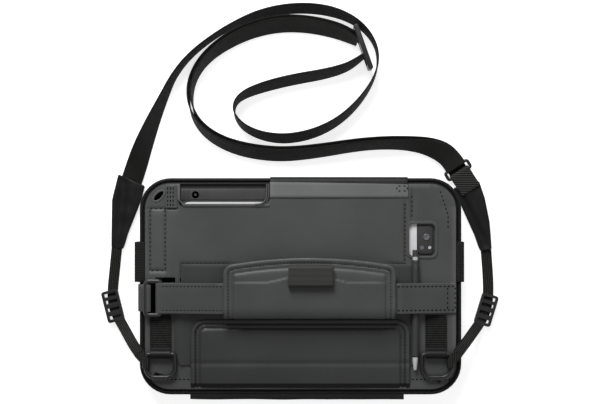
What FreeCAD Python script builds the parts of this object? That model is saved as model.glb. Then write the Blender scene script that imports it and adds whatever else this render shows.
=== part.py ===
import FreeCAD, Part
import math
import os

# Rugged 10-inch tablet lying screen-down in a leather carrying case, seen from its back: hand strap, flaps,
# D-rings and a webbing shoulder strap laid out on the table beyond its top edge.
# Millimetres. +Z is up, out of the case's back; +X is right and +Y is the case's top edge.
# The origin is under the middle of the object, on the table.

V = FreeCAD.Vector
os.makedirs("parts", exist_ok=True)

# ---------------------------------------------------------------- driving dimensions
running_gap = 0.3            # clear space between pieces that move past each other

# tablet
tablet_r = 22.0
bezel_t = 4.0
bezel_end = 14.0             # glass to the tablet's top and bottom edges
shell_t = 13.5
shell_wall = 4.0
shell_back = 2.0
glass_w = 250.0
glass_h = 160.0
glass_t = 1.7
glass_r = 4.0
glass_ledge = 5.0            # width of the step that carries the glass
glass_sunk = 0.3
display_t = 4.0
display_play = 2.0
display_r = 2.0
battery_w = 140.0
battery_h = 70.0
battery_t = 8.5
battery_r = 3.0
board_w = 150.0
board_h = 56.0
board_t = 1.6
board_r = 2.0
board_clear = 10.0           # battery to board
board_post = 4.3
board_post_r = 2.5
cover_t = 1.5
cover_r = 8.0
cover_in_left = 37.9         # silver cover to the case's sides
cover_in_right = 40.7
cover_in_low = 24.2
cover_in_top = 21.4
cover_screw_r = 2.2
cover_screw_t = 0.8
cover_screw_inset = 8.0

# front keys, in a column on the right bezel
key_w = 7.0
key_h = 12.0
key_r = 1.5
key_proud = 0.7
key_travel = 0.7
key_flange = 1.0
key_flange_t = 1.0
key_wall_gap = 2.5           # key flange to shell wall
key_glass_gap = 3.5          # key to glass
key_pitch = 20.0
key_board_w = 12.0
key_board_t = 1.2
key_post = 2.0

# camera island and what shows in the top slot
island_w = 14.6
island_h = 26.0
island_t = 2.3
island_r = 3.5
island_up = 130.3            # island to the case's bottom edge
lens_in = 8.6                # middles of lens, flash and sensor from the island's corner
lens_up = 15.7
lens_r = 3.1
lens_t = 0.6
flash_in = 11.6
flash_up = 5.8
flash_r = 1.5
flash_t = 0.3
sensor_in = 4.4
sensor_r = 1.9
sensor_t = 0.2
finger_grip_w = 8.5
finger_grip_h = 9.3
finger_grip_t = 1.2
finger_grip_in = 0.6         # finger grip to the slot's left end
finger_grip_up = 3.7
finger_grip_r = 0.8
frame_screw_in = 14.2
frame_screw_up = 8.5
frame_screw_r = 3.7
frame_screw_t = 0.9

# case
leather = 2.0
front_frame_t = 2.4
tablet_play = 0.25
rim_wall = 5.75
ridge_proud = 0.9            # how far the piped seams stand out of the rim
ridge_t = 4.0
panel_inset = 4.5            # case outline to the edge of the rear panel
window_side = 10.0           # front frame bars
window_end = 16.0
window_r = 10.0
patch_t = 1.2
slot_in = 36.9               # top slot to the case's left side
slot_deep = 23.2             # top slot to the case's top edge
slot_r = 6.0
camera_open_left = 7.7       # margins of the camera opening round the island
camera_open_right = 1.9
camera_open_low = 1.8
camera_open_top = 2.0
camera_open_r = 5.0
camera_open_left_r = 1.0
speaker_slot_r = 2.0
vent_slot_r = 1.6
port_in = 14.0               # port opening from the case's left side and bottom edge
port_up = 103.4
port_w = 18.5
port_h = 5.0
port_r = 0.8
binding_w = 2.6
binding_t = 0.9
binding_slot_r = 8.0
binding_end_r = 1.0
binding_camera_r = 6.5
binding_window_r = 4.0
binding_clear = 1.0          # binding to the panel's top edge
ribbed_w = 10.5
ribbed_t = 1.4
ribbed_r = 0.8
ribbed_drop = 3.7            # strip's foot below the slot
ribbed_clear = 1.5
pocket_up = 27.0             # pocket to the case's edges
pocket_top_up = 120.9
pocket_in_left = 38.0
pocket_in_right = 40.7
pocket_bulge_out = 6.5       # the pocket is wider below the hand strap
pocket_step_up = 14.0        # where it widens, from the strap's middle
pocket_step_low = 4.0
pocket_step_foot = 13.0
pocket_r = 2.0
pocket_bulge_r = 3.0
pocket_foot_r = 4.0
pocket_corner_r = 5.0
stylus_r = 2.6
stylus_in = 1.9              # stylus to the pocket's right edge
stylus_below = 4.4           # stylus beyond the pocket's foot and top
stylus_above = 13.3
stylus_tip_r = 1.5
stylus_tip_l = 9.0
stylus_cap_r = 1.0
sleeve_leather = 0.6
sleeve_up = 9.0              # sleeve's lower end to the pocket's foot

# top band and bottom band stand proud of the rim and set where the middle lies
top_band_t = 1.6
bottom_band_proud = 5.6
side_band_proud_left = 5.6
side_band_proud_right = 3.4
side_band_l = 37.4
side_band_middle = 24.6
band_wall = 1.8
band_clear = 0.6             # band to the front frame and to the rear panel's underside
band_r = 2.0
band_inner_r = 0.6
side_band_lap = 0.4          # side band's end to the rear panel's edge
bottom_band_short_left = 0.7     # bottom band's ends to the bottom flap's sides
bottom_band_short_right = 5.3

# hand strap
strap_w = 28.0
strap_t = 2.2
strap_y = -8.8
ring_bar_r = 1.4
ring_inner_w = 9.4
hand_gap = 8.0
pad_t = 9.4
pad_floor = 1.4
pad_play = 1.5
pad_left = -71.0
pad_right = 87.5
pad_r = 9.0
pad_below = 18.2             # pad's edges from the strap's middle line
pad_above = 30.3
pad_crown_above = 37.6
tunnel_play = 0.7            # strap to the sides of the pad's tunnel
strap_tuck = 9.0             # strap end inside the pad
strap_rise = 5.0             # level part of the strap outside the pad
strap_lift = 0.8             # strap over the ring's middle
anchor_l = 5.2
tab_t = 1.6
tab_r = 1.2
tab_short = 1.5              # tab narrower than the strap, each side
ring_in = 7.7                # ring's outer bar to the case's left side
ring_over_panel = 4.2
ring_play = 0.5
ring_corner_r = 1.9
bar_play = 0.15
pen_loop_w = 41.0
pen_loop_x = 9.4
pen_loop_above = 21.0
pen_loop_span = 21.6
pen_loop_h = 8.4
pen_loop_taper = 1.5
pen_loop_r = 3.0
pen_loop_inner_r = 1.8
pen_loop_floor = 0.8
pen_loop_foot_r = 0.5
elastic_t = 1.5

# D-rings
webbing_w = 20.0
webbing_t = 1.5
dring_bar_r = 2.1
dring_w = 31.2
dring_h = 25.6
dring_up = 37.25             # straight bar to the case's bottom edge
dring_corner_r = 2.7
dring_bow_r = 8.5
dring_inset_left = 19.0      # middle of the ring to the case's side
dring_inset_right = 23.0
sleeve_wall = 1.5
patch_length = 30.7
patch_from_sleeve = 1.5
narrow_w = 10.0
narrow_t = 1.4
wrap_play = 0.1
loop_tail = 9.6              # D-ring's outer leg to the end of the sewn loop
loop_angle = 54.0            # the loop's pull, from the case's bottom edge
loop_to_webbing = 1.6        # end of the sewn loop to the webbing beyond it

# bottom flap
flap_left = -102.1
flap_right = 101.6
flap_below_pad = 1.4
flap_crease_up = 28.85       # crease and foot to the case's bottom edge
flap_foot_up = 5.25
flap_t = 2.2
flap_r = 16.0
flap_drop = 1.2              # how much the lower panel falls towards its foot

# top flap
top_flap_left = -28.4
top_flap_right = 100.0
top_crease_down = 17.65      # crease to the case's top edge

# shoulder strap
laid_case_w = 298.0          # case that the strap's lay on the table is drawn for
laid_case_h = 200.0
adapter_bar_r = 1.5
adapter_span = 7.5
adapter_play = 2.2
adapter_r = 2.0
ring_strap_l = 19.0
table_gap = 0.2
lock_w = 16.0
lock_l = 30.0
lock_t = 5.0
lock_r = 2.5
lock_lift = 1.0
lock_slots = [-10.6, -3.0, 4.4, 10.8]
lock_slot_half = 1.6
lock_slot_r = 0.6
lock_play = 0.6
lock_turn_left = 14.0
lock_turn_right = -17.0
leather_end_t = 5.2
slider_l = 44.0
slider_h = 26.0
slider_t = 4.6
slider_r = 1.5
slider_slot_w = 12.0
slider_slot_x = 11.0
slider_play = 0.7
slider_turn = -70.4

# ---------------------------------------------------------------- levels and edges
key_column_inset = shell_wall + key_wall_gap + key_flange + key_w / 2
bezel_side = key_column_inset + key_w / 2 + key_glass_gap
tablet_w = glass_w + 2 * bezel_side
tablet_h = glass_h + 2 * bezel_end
case_w = tablet_w + 2 * (tablet_play + rim_wall)
case_h = tablet_h + 2 * (tablet_play + rim_wall)
case_r = tablet_r + tablet_play + rim_wall
top_band_proud = running_gap + top_band_t
middle_y = (bottom_band_proud - top_band_proud) / 2
left = -case_w / 2
right = case_w / 2
top = middle_y + case_h / 2
bottom = middle_y - case_h / 2
pad_low = strap_y - pad_below
pad_shoulder = strap_y + pad_above
pad_crown = strap_y + pad_crown_above
pen_loop_y = strap_y + pen_loop_above
dring_axis_y = bottom + dring_up
flap_top_y = pad_low - flap_below_pad
flap_crease_y = bottom + flap_crease_up
flap_foot_y = bottom + flap_foot_up
top_crease_y = top - top_crease_down
lay_spread = case_w / laid_case_w
lay_stretch = case_h / laid_case_h

z_bezel = front_frame_t
z_shell = z_bezel + bezel_t
z_shell_back = z_shell + shell_t
z_rear = z_shell_back + cover_t
z_back = z_rear + leather
z_patch = z_back + patch_t


# ---------------------------------------------------------------- shape helpers
def rounded_wire(corners):
    """Closed wire through (point, radius) corners, each rounded by a tangent arc."""
    starts = []
    middles = []
    ends = []
    for index, (here, radius) in enumerate(corners):
        before = corners[index - 1][0]
        after = corners[(index + 1) % len(corners)][0]
        back = (before - here).normalize()
        ahead = (after - here).normalize()
        half = back.getAngle(ahead) / 2
        reach = radius / math.tan(half)
        bisector = (back + ahead).normalize() if radius else V(0, 0, 0)
        centre = here + bisector * (radius / math.sin(half))
        starts.append(here + back * reach)
        middles.append(centre - bisector * radius)
        ends.append(here + ahead * reach)
    edges = []
    for index, (here, radius) in enumerate(corners):
        if radius:
            edges.append(Part.Arc(starts[index], middles[index], ends[index]).toShape())
        following = starts[(index + 1) % len(corners)]
        if following.distanceToPoint(ends[index]) > 1e-6:
            edges.append(Part.LineSegment(ends[index], following).toShape())
    return Part.Wire(edges)


def plate(corners, z0, z1):
    """Solid between two heights inside (x, y, radius) corners."""
    wire = rounded_wire([(V(x, y, z0), radius) for x, y, radius in corners])
    return Part.Face(wire).extrude(V(0, 0, z1 - z0))


def slab(x0, x1, y0, y1, z0, z1, radius=0.0):
    """Box with rounded upright edges."""
    return plate([(x0, y0, radius), (x1, y0, radius), (x1, y1, radius), (x0, y1, radius)], z0, z1)


def prism_x(corners, x0, x1):
    """Solid from x0 to x1 inside (y, z, radius) corners."""
    wire = rounded_wire([(V(x0, y, z), radius) for y, z, radius in corners])
    return Part.Face(wire).extrude(V(x1 - x0, 0, 0))


def prism_y(corners, y0, y1):
    """Solid from y0 to y1 inside (x, z, radius) corners."""
    wire = rounded_wire([(V(x, y0, z), radius) for x, z, radius in corners])
    return Part.Face(wire).extrude(V(0, y1 - y0, 0))


def case_plate(inset, z0, z1):
    """Plate with the case's outline, drawn in by inset."""
    return slab(left + inset, right - inset, bottom + inset, top - inset, z0, z1, case_r - inset)


def rod(radius, start, end):
    return Part.makeCylinder(radius, (end - start).Length, start, end - start)


def turned(shape, angle, place):
    """Shape turned about +Z by an angle in degrees and carried to its place."""
    moved = shape.copy()
    moved.rotate(V(0, 0, 0), V(0, 0, 1), angle)
    moved.translate(place)
    return moved


def bent_rod(corners, radius):
    """Closed loop of round rod along (point, radius) corners."""
    path = rounded_wire(corners)
    first = path.OrderedEdges[0]
    start = first.valueAt(first.FirstParameter)
    ahead = first.tangentAt(first.FirstParameter)
    profile = Part.Wire([Part.makeCircle(radius, start, ahead)])
    return path.makePipeShell([profile], True, True)


def save(name, shape):
    if shape.ShapeType == "Compound" and len(shape.Solids) == 1:
        shape = shape.Solids[0]
    if not shape.isValid():
        print("NOT VALID", name)
    shape.exportStep("parts/" + name + ".step")


# ---------------------------------------------------------------- tablet: bezel, glass, display
tablet_left = left + rim_wall + tablet_play
tablet_right = right - rim_wall - tablet_play
tablet_low = bottom + rim_wall + tablet_play
tablet_top = top - rim_wall - tablet_play
glass_seat = z_bezel + glass_sunk + glass_t
key_x = tablet_right - key_column_inset
key_rows = [middle_y + key_pitch * step for step in (-2, -1, 0, 1, 2)]
key_names = ["function_key_a", "function_key_b", "volume_down_key", "volume_up_key", "power_key"]


def centred(width, height, z0, z1, radius):
    return slab(-width / 2, width / 2, middle_y - height / 2, middle_y + height / 2, z0, z1, radius)


def key_prism(y, grow, z0, z1):
    half_w = key_w / 2 + grow
    half_h = key_h / 2 + grow
    return slab(key_x - half_w, key_x + half_w, y - half_h, y + half_h, z0, z1, key_r + grow)


bezel = slab(tablet_left, tablet_right, tablet_low, tablet_top, z_bezel, z_shell, tablet_r)
bezel = bezel.cut(centred(glass_w, glass_h, z_bezel, glass_seat, glass_r))
ledge_w = glass_w - 2 * glass_ledge
ledge_h = glass_h - 2 * glass_ledge
bezel = bezel.cut(centred(ledge_w, ledge_h, z_bezel, z_shell, glass_r))
for row in key_rows:
    bezel = bezel.cut(key_prism(row, running_gap, z_bezel, z_shell))
save("front_bezel", bezel)
save("front_glass", centred(glass_w, glass_h, z_bezel + glass_sunk, glass_seat, glass_r))
display_end = glass_seat + display_t
display_w = ledge_w - 2 * display_play
display_h = ledge_h - 2 * display_play
save("display_panel", centred(display_w, display_h, glass_seat, display_end, display_r))

# ---------------------------------------------------------------- tablet: keys and their switch board
key_back = z_shell + running_gap
key_end = key_back + key_flange_t
for name, row in zip(key_names, key_rows):
    cap = key_prism(row, 0.0, z_bezel - key_proud, key_back)
    flange = key_prism(row, key_flange, key_back, key_end)
    save(name, cap.fuse(flange).removeSplitter())
board_z = key_end + key_travel + running_gap
strip_reach = 2 * key_pitch + key_h / 2 + key_flange + running_gap + 2 * key_post
strip = slab(key_x - key_board_w / 2, key_x + key_board_w / 2, middle_y - strip_reach, middle_y + strip_reach,
             board_z, board_z + key_board_t)
for side in (-1, 1):
    post_y = middle_y + side * (strip_reach - key_post)
    strip = strip.fuse(rod(key_post, V(key_x, post_y, z_shell), V(key_x, post_y, board_z)))
save("key_switch_board", strip.removeSplitter())

# ---------------------------------------------------------------- tablet: shell and what it holds
shell = slab(tablet_left, tablet_right, tablet_low, tablet_top, z_shell, z_shell_back, tablet_r)
hollow_end = z_shell_back - shell_back
hollow = slab(tablet_left + shell_wall, tablet_right - shell_wall, tablet_low + shell_wall,
              tablet_top - shell_wall, z_shell, hollow_end, tablet_r - shell_wall)
save("back_shell", shell.cut(hollow))

battery_low = middle_y - ledge_h / 2
save("battery_pack", slab(-battery_w / 2, battery_w / 2, battery_low, battery_low + battery_h,
                          hollow_end - battery_t, hollow_end, battery_r))
board_low = battery_low + battery_h + board_clear
board_top_z = hollow_end - board_post
board = slab(-board_w / 2, board_w / 2, board_low, board_low + board_h,
             board_top_z - board_t, board_top_z, board_r)
for post_x in (-board_w / 2 + 2 * board_post_r, board_w / 2 - 2 * board_post_r):
    for post_y in (board_low + 2 * board_post_r, board_low + board_h - 2 * board_post_r):
        board = board.fuse(rod(board_post_r, V(post_x, post_y, board_top_z), V(post_x, post_y, hollow_end)))
save("main_board", board.removeSplitter())

# ---------------------------------------------------------------- tablet: silver rear cover and its screws
cover_left = left + cover_in_left
cover_right = right - cover_in_right
cover_low = bottom + cover_in_low
cover_top = top - cover_in_top
cover = slab(cover_left, cover_right, cover_low, cover_top, z_shell_back, z_rear, cover_r)
screws = []
for x in (cover_left + cover_screw_inset, cover_right - cover_screw_inset):
    for y in (cover_low + cover_screw_inset, cover_top - cover_screw_inset):
        screws.append(rod(cover_screw_r, V(x, y, z_rear - cover_screw_t), V(x, y, z_rear)))
cover_screws = Part.makeCompound(screws)
save("rear_cover", cover.cut(cover_screws))
save("rear_cover_screws", cover_screws)

# ---------------------------------------------------------------- tablet: camera island
island_left = cover_right + running_gap
island_low = bottom + island_up
island_top = z_shell_back + island_t
save("camera_island", slab(island_left, island_left + island_w, island_low, island_low + island_h,
                           z_shell_back, island_top, island_r))
lens_base = V(island_left + lens_in, island_low + lens_up, island_top)
flash_base = V(island_left + flash_in, island_low + flash_up, island_top)
sensor_base = V(island_left + sensor_in, island_low + flash_up, island_top)
save("camera_lens", rod(lens_r, lens_base, lens_base + V(0, 0, lens_t)))
save("flash_window", rod(flash_r, flash_base, flash_base + V(0, 0, flash_t)))
save("light_sensor", rod(sensor_r, sensor_base, sensor_base + V(0, 0, sensor_t)))

# ---------------------------------------------------------------- tablet: what shows in the top slot
slot_left = left + slot_in
slot_low = top - slot_deep
grip_left = slot_left + finger_grip_in
grip_low = slot_low + finger_grip_up
save("ribbed_grip", slab(grip_left, grip_left + finger_grip_w, grip_low, grip_low + finger_grip_h,
                         z_shell_back, z_shell_back + finger_grip_t, finger_grip_r))
screw_base = V(slot_left + frame_screw_in, slot_low + frame_screw_up, z_shell_back)
save("frame_screw", rod(frame_screw_r, screw_base, screw_base + V(0, 0, frame_screw_t)))

# ---------------------------------------------------------------- case: front frame and rim
window = slab(left + window_side, right - window_side, bottom + window_end, top - window_end,
              0, front_frame_t, window_r)
save("front_frame", case_plate(ridge_proud, 0, front_frame_t).cut(window))
rim_low = front_frame_t
rim = case_plate(ridge_proud, rim_low, z_rear).cut(case_plate(rim_wall, rim_low, z_rear))
save("side_rim", rim)


def seam_ridge(z0):
    return case_plate(0, z0, z0 + ridge_t).cut(case_plate(ridge_proud, z0, z0 + ridge_t))


save("rim_piping", Part.makeCompound([seam_ridge(rim_low), seam_ridge(z_rear - ridge_t)]))

# ---------------------------------------------------------------- case: rear panel with its openings
panel_top = top - panel_inset
camera_left = island_left - camera_open_left
camera_right = island_left + island_w + camera_open_right
camera_low = island_low - camera_open_low
camera_top = island_low + island_h + camera_open_top


def slanted_slot(x0, y0, x1, y1, radius):
    """Slot with round ends from one point to another, through the rear panel."""
    start = V(x0, y0, z_rear)
    along = V(x1 - x0, y1 - y0, 0)
    across = V(-along.y, along.x, 0).normalize() * radius
    corners = [start - across, start + along - across, start + along + across, start + across]
    bar = plate([(corner.x, corner.y, 0.0) for corner in corners], z_rear, z_back)
    round_ends = [rod(radius, V(x, y, z_rear), V(x, y, z_back)) for x, y in ((x0, y0), (x1, y1))]
    return bar.fuse(round_ends)


panel = case_plate(panel_inset, z_rear, z_back)
panel = panel.cut(plate([(slot_left, slot_low, slot_r), (top_flap_left, slot_low, slot_r),
                         (top_flap_left, top, 0.0), (slot_left, top, 0.0)], z_rear, z_back))
panel = panel.cut(slab(top_flap_left - running_gap, top_flap_right + running_gap, top_crease_y - running_gap,
                       top, z_rear, z_back))
panel = panel.cut(plate([(camera_left, camera_low, camera_open_left_r),
                         (camera_right, camera_low, camera_open_r), (camera_right, camera_top, camera_open_r),
                         (camera_left, camera_top, camera_open_left_r)], z_rear, z_back))
panel = panel.cut(slanted_slot(left + 13.6, top - 19.0, left + 21.0, top - 11.8, speaker_slot_r))
panel = panel.cut(slanted_slot(left + 14.5, bottom + 18.4, left + 20.6, bottom + 16.6, vent_slot_r))
panel = panel.cut(slanted_slot(right - 28.0, bottom + 15.6, right - 20.0, bottom + 11.6, vent_slot_r))
port_left = left + port_in
port_low = bottom + port_up
panel = panel.cut(slab(port_left, port_left + port_w, port_low, port_low + port_h, z_rear, z_back, port_r))
save("rear_panel", panel)

# ---------------------------------------------------------------- case: bindings, ribbed strip, pocket
binding_end = top_flap_left - running_gap
binding_top = panel_top - binding_clear
slot_outer = plate([(slot_left - binding_w, slot_low - binding_w, binding_slot_r),
                    (binding_end, slot_low - binding_w, binding_end_r),
                    (binding_end, slot_low + 0.01, 0.0), (slot_left, slot_low + 0.01, 0.0),
                    (slot_left, binding_top, 0.0), (slot_left - binding_w, binding_top, 0.0)],
                   z_back, z_back + binding_t)
slot_inner = plate([(slot_left, slot_low, slot_r), (top_flap_left, slot_low, slot_r), (top_flap_left, top, 0.0),
                    (slot_left, top, 0.0)], z_back, z_back + binding_t)

camera_outer = slab(camera_left - binding_w, camera_right + binding_w, camera_low - binding_w,
                    camera_top + binding_w, z_back, z_back + binding_t, binding_camera_r)
camera_inner = slab(camera_left, camera_right, camera_low, camera_top, z_back, z_back + binding_t,
                    binding_window_r)
save("edge_bindings", Part.makeCompound([slot_outer.cut(slot_inner), camera_outer.cut(camera_inner)]))

strip_right = slot_left - binding_w
save("ribbed_strip", slab(strip_right - ribbed_w, strip_right, slot_low - ribbed_drop, panel_top - ribbed_clear,
                          z_back, z_back + ribbed_t, ribbed_r))

pocket_low = bottom + pocket_up
pocket_top = bottom + pocket_top_up
pocket_left = left + pocket_in_left
pocket_bulge = pocket_left - pocket_bulge_out
pocket_right = right - pocket_in_right
pocket = plate([(pocket_left, pocket_top, pocket_r), (pocket_left, strap_y + pocket_step_up, 0.0),
                (pocket_bulge, strap_y + pocket_step_low, pocket_bulge_r),
                (pocket_bulge, pocket_low + pocket_step_foot, pocket_foot_r),
                (pocket_left - 1.0, pocket_low, pocket_bulge_r), (pocket_right, pocket_low, pocket_corner_r),
                (pocket_right, pocket_top, pocket_r)], z_back, z_patch)
stylus_x = pocket_right - stylus_in
stylus_z = z_patch + running_gap + stylus_r
tube_low = V(stylus_x, pocket_low + sleeve_up, stylus_z)
tube_top = V(stylus_x, pocket_top, stylus_z)
bore = stylus_r + running_gap
pocket = pocket.fuse(rod(bore + sleeve_leather, tube_low, tube_top)).cut(rod(bore, tube_low, tube_top))
save("rear_pocket", pocket.removeSplitter())

stylus_foot = V(stylus_x, pocket_low - stylus_below, stylus_z)
tip_end = stylus_foot + V(0, stylus_tip_l, 0)
stylus_end = V(stylus_x, pocket_top + stylus_above, stylus_z)
stylus_tip = Part.makeCone(stylus_tip_r, stylus_r, stylus_tip_l, stylus_foot, V(0, 1, 0))
stylus = rod(stylus_r, tip_end, stylus_end).fuse(stylus_tip).removeSplitter()
cap_edges = [edge for edge in stylus.Edges if edge.BoundBox.YMin > stylus_end.y - 0.01]
save("stylus", stylus.makeFillet(stylus_cap_r, cap_edges))

# ---------------------------------------------------------------- case: bands over the edges
band_low = rim_low + band_clear
bottom_edge = bottom - bottom_band_proud
band_top = z_rear - band_clear
save("bottom_band", prism_x([(bottom, band_low, 0.0), (bottom_edge, band_low, band_r),
                             (bottom_edge, band_top, band_r), (bottom, band_top, 0.0),
                             (bottom, band_top - band_wall, 0.0),
                             (bottom_edge + band_wall, band_top - band_wall, band_inner_r),
                             (bottom_edge + band_wall, band_low + band_wall, band_inner_r),
                             (bottom, band_low + band_wall, 0.0)],
                            flap_left - bottom_band_short_left, flap_right - bottom_band_short_right))


def side_band(side, proud):
    """Webbing loop round the rim at one side; side is -1 for left."""
    rim_x = side * case_w / 2
    outer_x = rim_x + side * proud
    inner_x = outer_x - side * band_wall
    lip_x = rim_x - side * (panel_inset - side_band_lap)
    section = [(rim_x, band_low, 0.0), (outer_x, band_low, band_r), (outer_x, z_rear + band_wall, band_r),
               (lip_x, z_rear + band_wall, 0.0), (lip_x, z_rear, 0.0), (inner_x, z_rear, band_inner_r),
               (inner_x, band_low + band_wall, band_inner_r), (rim_x, band_low + band_wall, 0.0)]
    return prism_y(section, side_band_middle - side_band_l / 2, side_band_middle + side_band_l / 2)


save("side_band_left", side_band(-1, side_band_proud_left))
save("side_band_right", side_band(1, side_band_proud_right))

# ---------------------------------------------------------------- case: top flap
top_hinge_z = z_back + running_gap
flap_under = z_rear + running_gap
band_inner = top + running_gap
save("top_flap_panel", slab(top_flap_left, top_flap_right, top_crease_y, band_inner,
                            flap_under, top_hinge_z, 0.0))
save("top_flap_band", slab(top_flap_left, top_flap_right, band_inner, band_inner + top_band_t,
                           band_low, top_hinge_z, 0.0))

# ---------------------------------------------------------------- case: bottom flap, two panels with a crease
flap_under_z = z_patch + running_gap
flap_top_z = flap_under_z + flap_t
foot_top_z = flap_top_z - flap_drop
upper_foot = flap_crease_y + running_gap
lower_end = flap_crease_y - running_gap
upper_panel = plate([(flap_left, upper_foot, 0.0), (flap_right, upper_foot, 0.0),
                     (flap_right, flap_top_y, flap_r), (flap_left, flap_top_y, flap_r)],
                    flap_under_z, flap_top_z)
save("bottom_flap_upper", upper_panel)
lower_section = [(lower_end, flap_under_z, 0.0), (lower_end, flap_top_z, 0.0),
                 (flap_foot_y, foot_top_z, 0.0), (flap_foot_y, foot_top_z - flap_t, 0.0)]
save("bottom_flap_lower", prism_x(lower_section, flap_left, flap_right))

# ---------------------------------------------------------------- hand strap: anchor tab, ring, straps
ring_z = z_back + ring_over_panel
ring_left_x = left + ring_in
ring_right_x = ring_left_x + ring_inner_w
strap_low = strap_y - strap_w / 2
strap_high = strap_y + strap_w / 2
ring_half = strap_w / 2 + ring_play + ring_bar_r
ring_path = [(V(ring_left_x, strap_y - ring_half, ring_z), ring_corner_r),
             (V(ring_right_x, strap_y - ring_half, ring_z), ring_corner_r),
             (V(ring_right_x, strap_y + ring_half, ring_z), ring_corner_r),
             (V(ring_left_x, strap_y + ring_half, ring_z), ring_corner_r)]
save("hand_ring", bent_rod(ring_path, ring_bar_r))

tab_bore = ring_bar_r + bar_play
tab_roll = tab_bore + tab_t
tab_half = strap_w / 2 - tab_short
tab_top = z_back + tab_t
tab_foot = band_low + 1.0
tab_section = [(left - leather, tab_foot, 0.0), (left - leather, tab_top, tab_r), (ring_left_x, tab_top, 0.0),
               (ring_left_x, z_back, 0.0), (left + panel_inset, z_back, 0.0), (left + panel_inset, z_rear, 0.0),
               (left, z_rear, 0.0), (left, tab_foot, 0.0)]
tab = prism_y(tab_section, strap_y - tab_half, strap_y + tab_half)
tab_start = V(ring_left_x, strap_y - tab_half, ring_z)
tab_end = V(ring_left_x, strap_y + tab_half, ring_z)
tab = tab.fuse(rod(tab_roll, tab_start, tab_end)).cut(rod(tab_bore, tab_start, tab_end))
save("ring_anchor_tab", tab.removeSplitter())

pad_z = z_patch + hand_gap
tunnel_z = pad_z + pad_floor
strap_z = tunnel_z + pad_play
strap_start = V(ring_right_x, strap_low, ring_z)
strap_end = V(ring_right_x, strap_high, ring_z)
rise_left = pad_left - strap_rise
rise_right = pad_right + strap_rise
lift_off = ring_z + strap_lift
left_section = [(ring_right_x, lift_off, 0.0), (rise_left, strap_z, 0.0), (pad_left + strap_tuck, strap_z, 0.0),
                (pad_left + strap_tuck, strap_z + strap_t, 0.0), (rise_left, strap_z + strap_t, 0.0),
                (ring_right_x, lift_off + strap_t, 0.0)]
left_strap = prism_y(left_section, strap_low, strap_high)
left_strap = left_strap.fuse(rod(tab_roll, strap_start, strap_end)).cut(rod(tab_bore, strap_start, strap_end))
save("hand_strap_left", left_strap.removeSplitter())

anchor_x = right - panel_inset
anchor_edge = anchor_x - anchor_l
anchor_top = z_back + strap_t
save("hand_strap_anchor", slab(anchor_edge, anchor_x, strap_low, strap_high, z_back, anchor_top, 0.0))
right_under = z_back + running_gap
right_section = [(anchor_edge - running_gap, right_under, 0.0), (anchor_edge - running_gap, anchor_top, 0.0),
                 (rise_right, strap_z + strap_t, 0.0), (pad_right - strap_tuck, strap_z + strap_t, 0.0),
                 (pad_right - strap_tuck, strap_z, 0.0), (rise_right, strap_z, 0.0)]
save("hand_strap_right", prism_y(right_section, strap_low, strap_high))

# ---------------------------------------------------------------- hand strap: padded grip and pen loop
pad_top = pad_z + pad_t
crown_x = (pad_left + pad_right) / 2
low_left = V(pad_left, pad_low, pad_z)
low_right = V(pad_right, pad_low, pad_z)
high_right = V(pad_right, pad_shoulder, pad_z)
high_left = V(pad_left, pad_shoulder, pad_z)
crown = V(crown_x, pad_crown, pad_z)
pad_edges = [Part.LineSegment(low_left, low_right).toShape(), Part.LineSegment(low_right, high_right).toShape(),
             Part.Arc(high_right, crown, high_left).toShape(), Part.LineSegment(high_left, low_left).toShape()]
pad = Part.Face(Part.Wire(pad_edges)).extrude(V(0, 0, pad_t))
corner_edges = []
for edge in pad.Edges:
    upright = abs(edge.tangentAt(edge.FirstParameter).z) > 0.99
    if upright and edge.Vertexes[0].Y > 0:
        corner_edges.append(edge)
pad = pad.makeFillet(pad_r, corner_edges)
tunnel = slab(pad_left - 1.0, pad_right + 1.0, strap_low - tunnel_play, strap_high + tunnel_play,
              tunnel_z, strap_z + strap_t + pad_play, 0.0)
pad = pad.cut(tunnel)
save("grip_pad", pad)

loop_top = pad_top + pen_loop_h
loop_y0 = pen_loop_y - pen_loop_span / 2
loop_y1 = pen_loop_y + pen_loop_span / 2
loop_x0 = pen_loop_x - pen_loop_w / 2
loop_x1 = pen_loop_x + pen_loop_w / 2
loop_shell = prism_x([(loop_y0, pad_top, 0.0), (loop_y1, pad_top, 0.0),
                      (loop_y1 - pen_loop_taper, loop_top, pen_loop_r),
                      (loop_y0 + pen_loop_taper, loop_top, pen_loop_r)], loop_x0, loop_x1)
core_low = pad_top + pen_loop_floor
core_top = loop_top - elastic_t
core_y0 = loop_y0 + elastic_t
core_y1 = loop_y1 - elastic_t
loop_core = prism_x([(core_y0, core_low, pen_loop_foot_r), (core_y1, core_low, pen_loop_foot_r),
                     (core_y1 - pen_loop_taper, core_top, pen_loop_inner_r),
                     (core_y0 + pen_loop_taper, core_top, pen_loop_inner_r)], loop_x0, loop_x1)
save("pen_loop", loop_shell.cut(loop_core))

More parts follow.
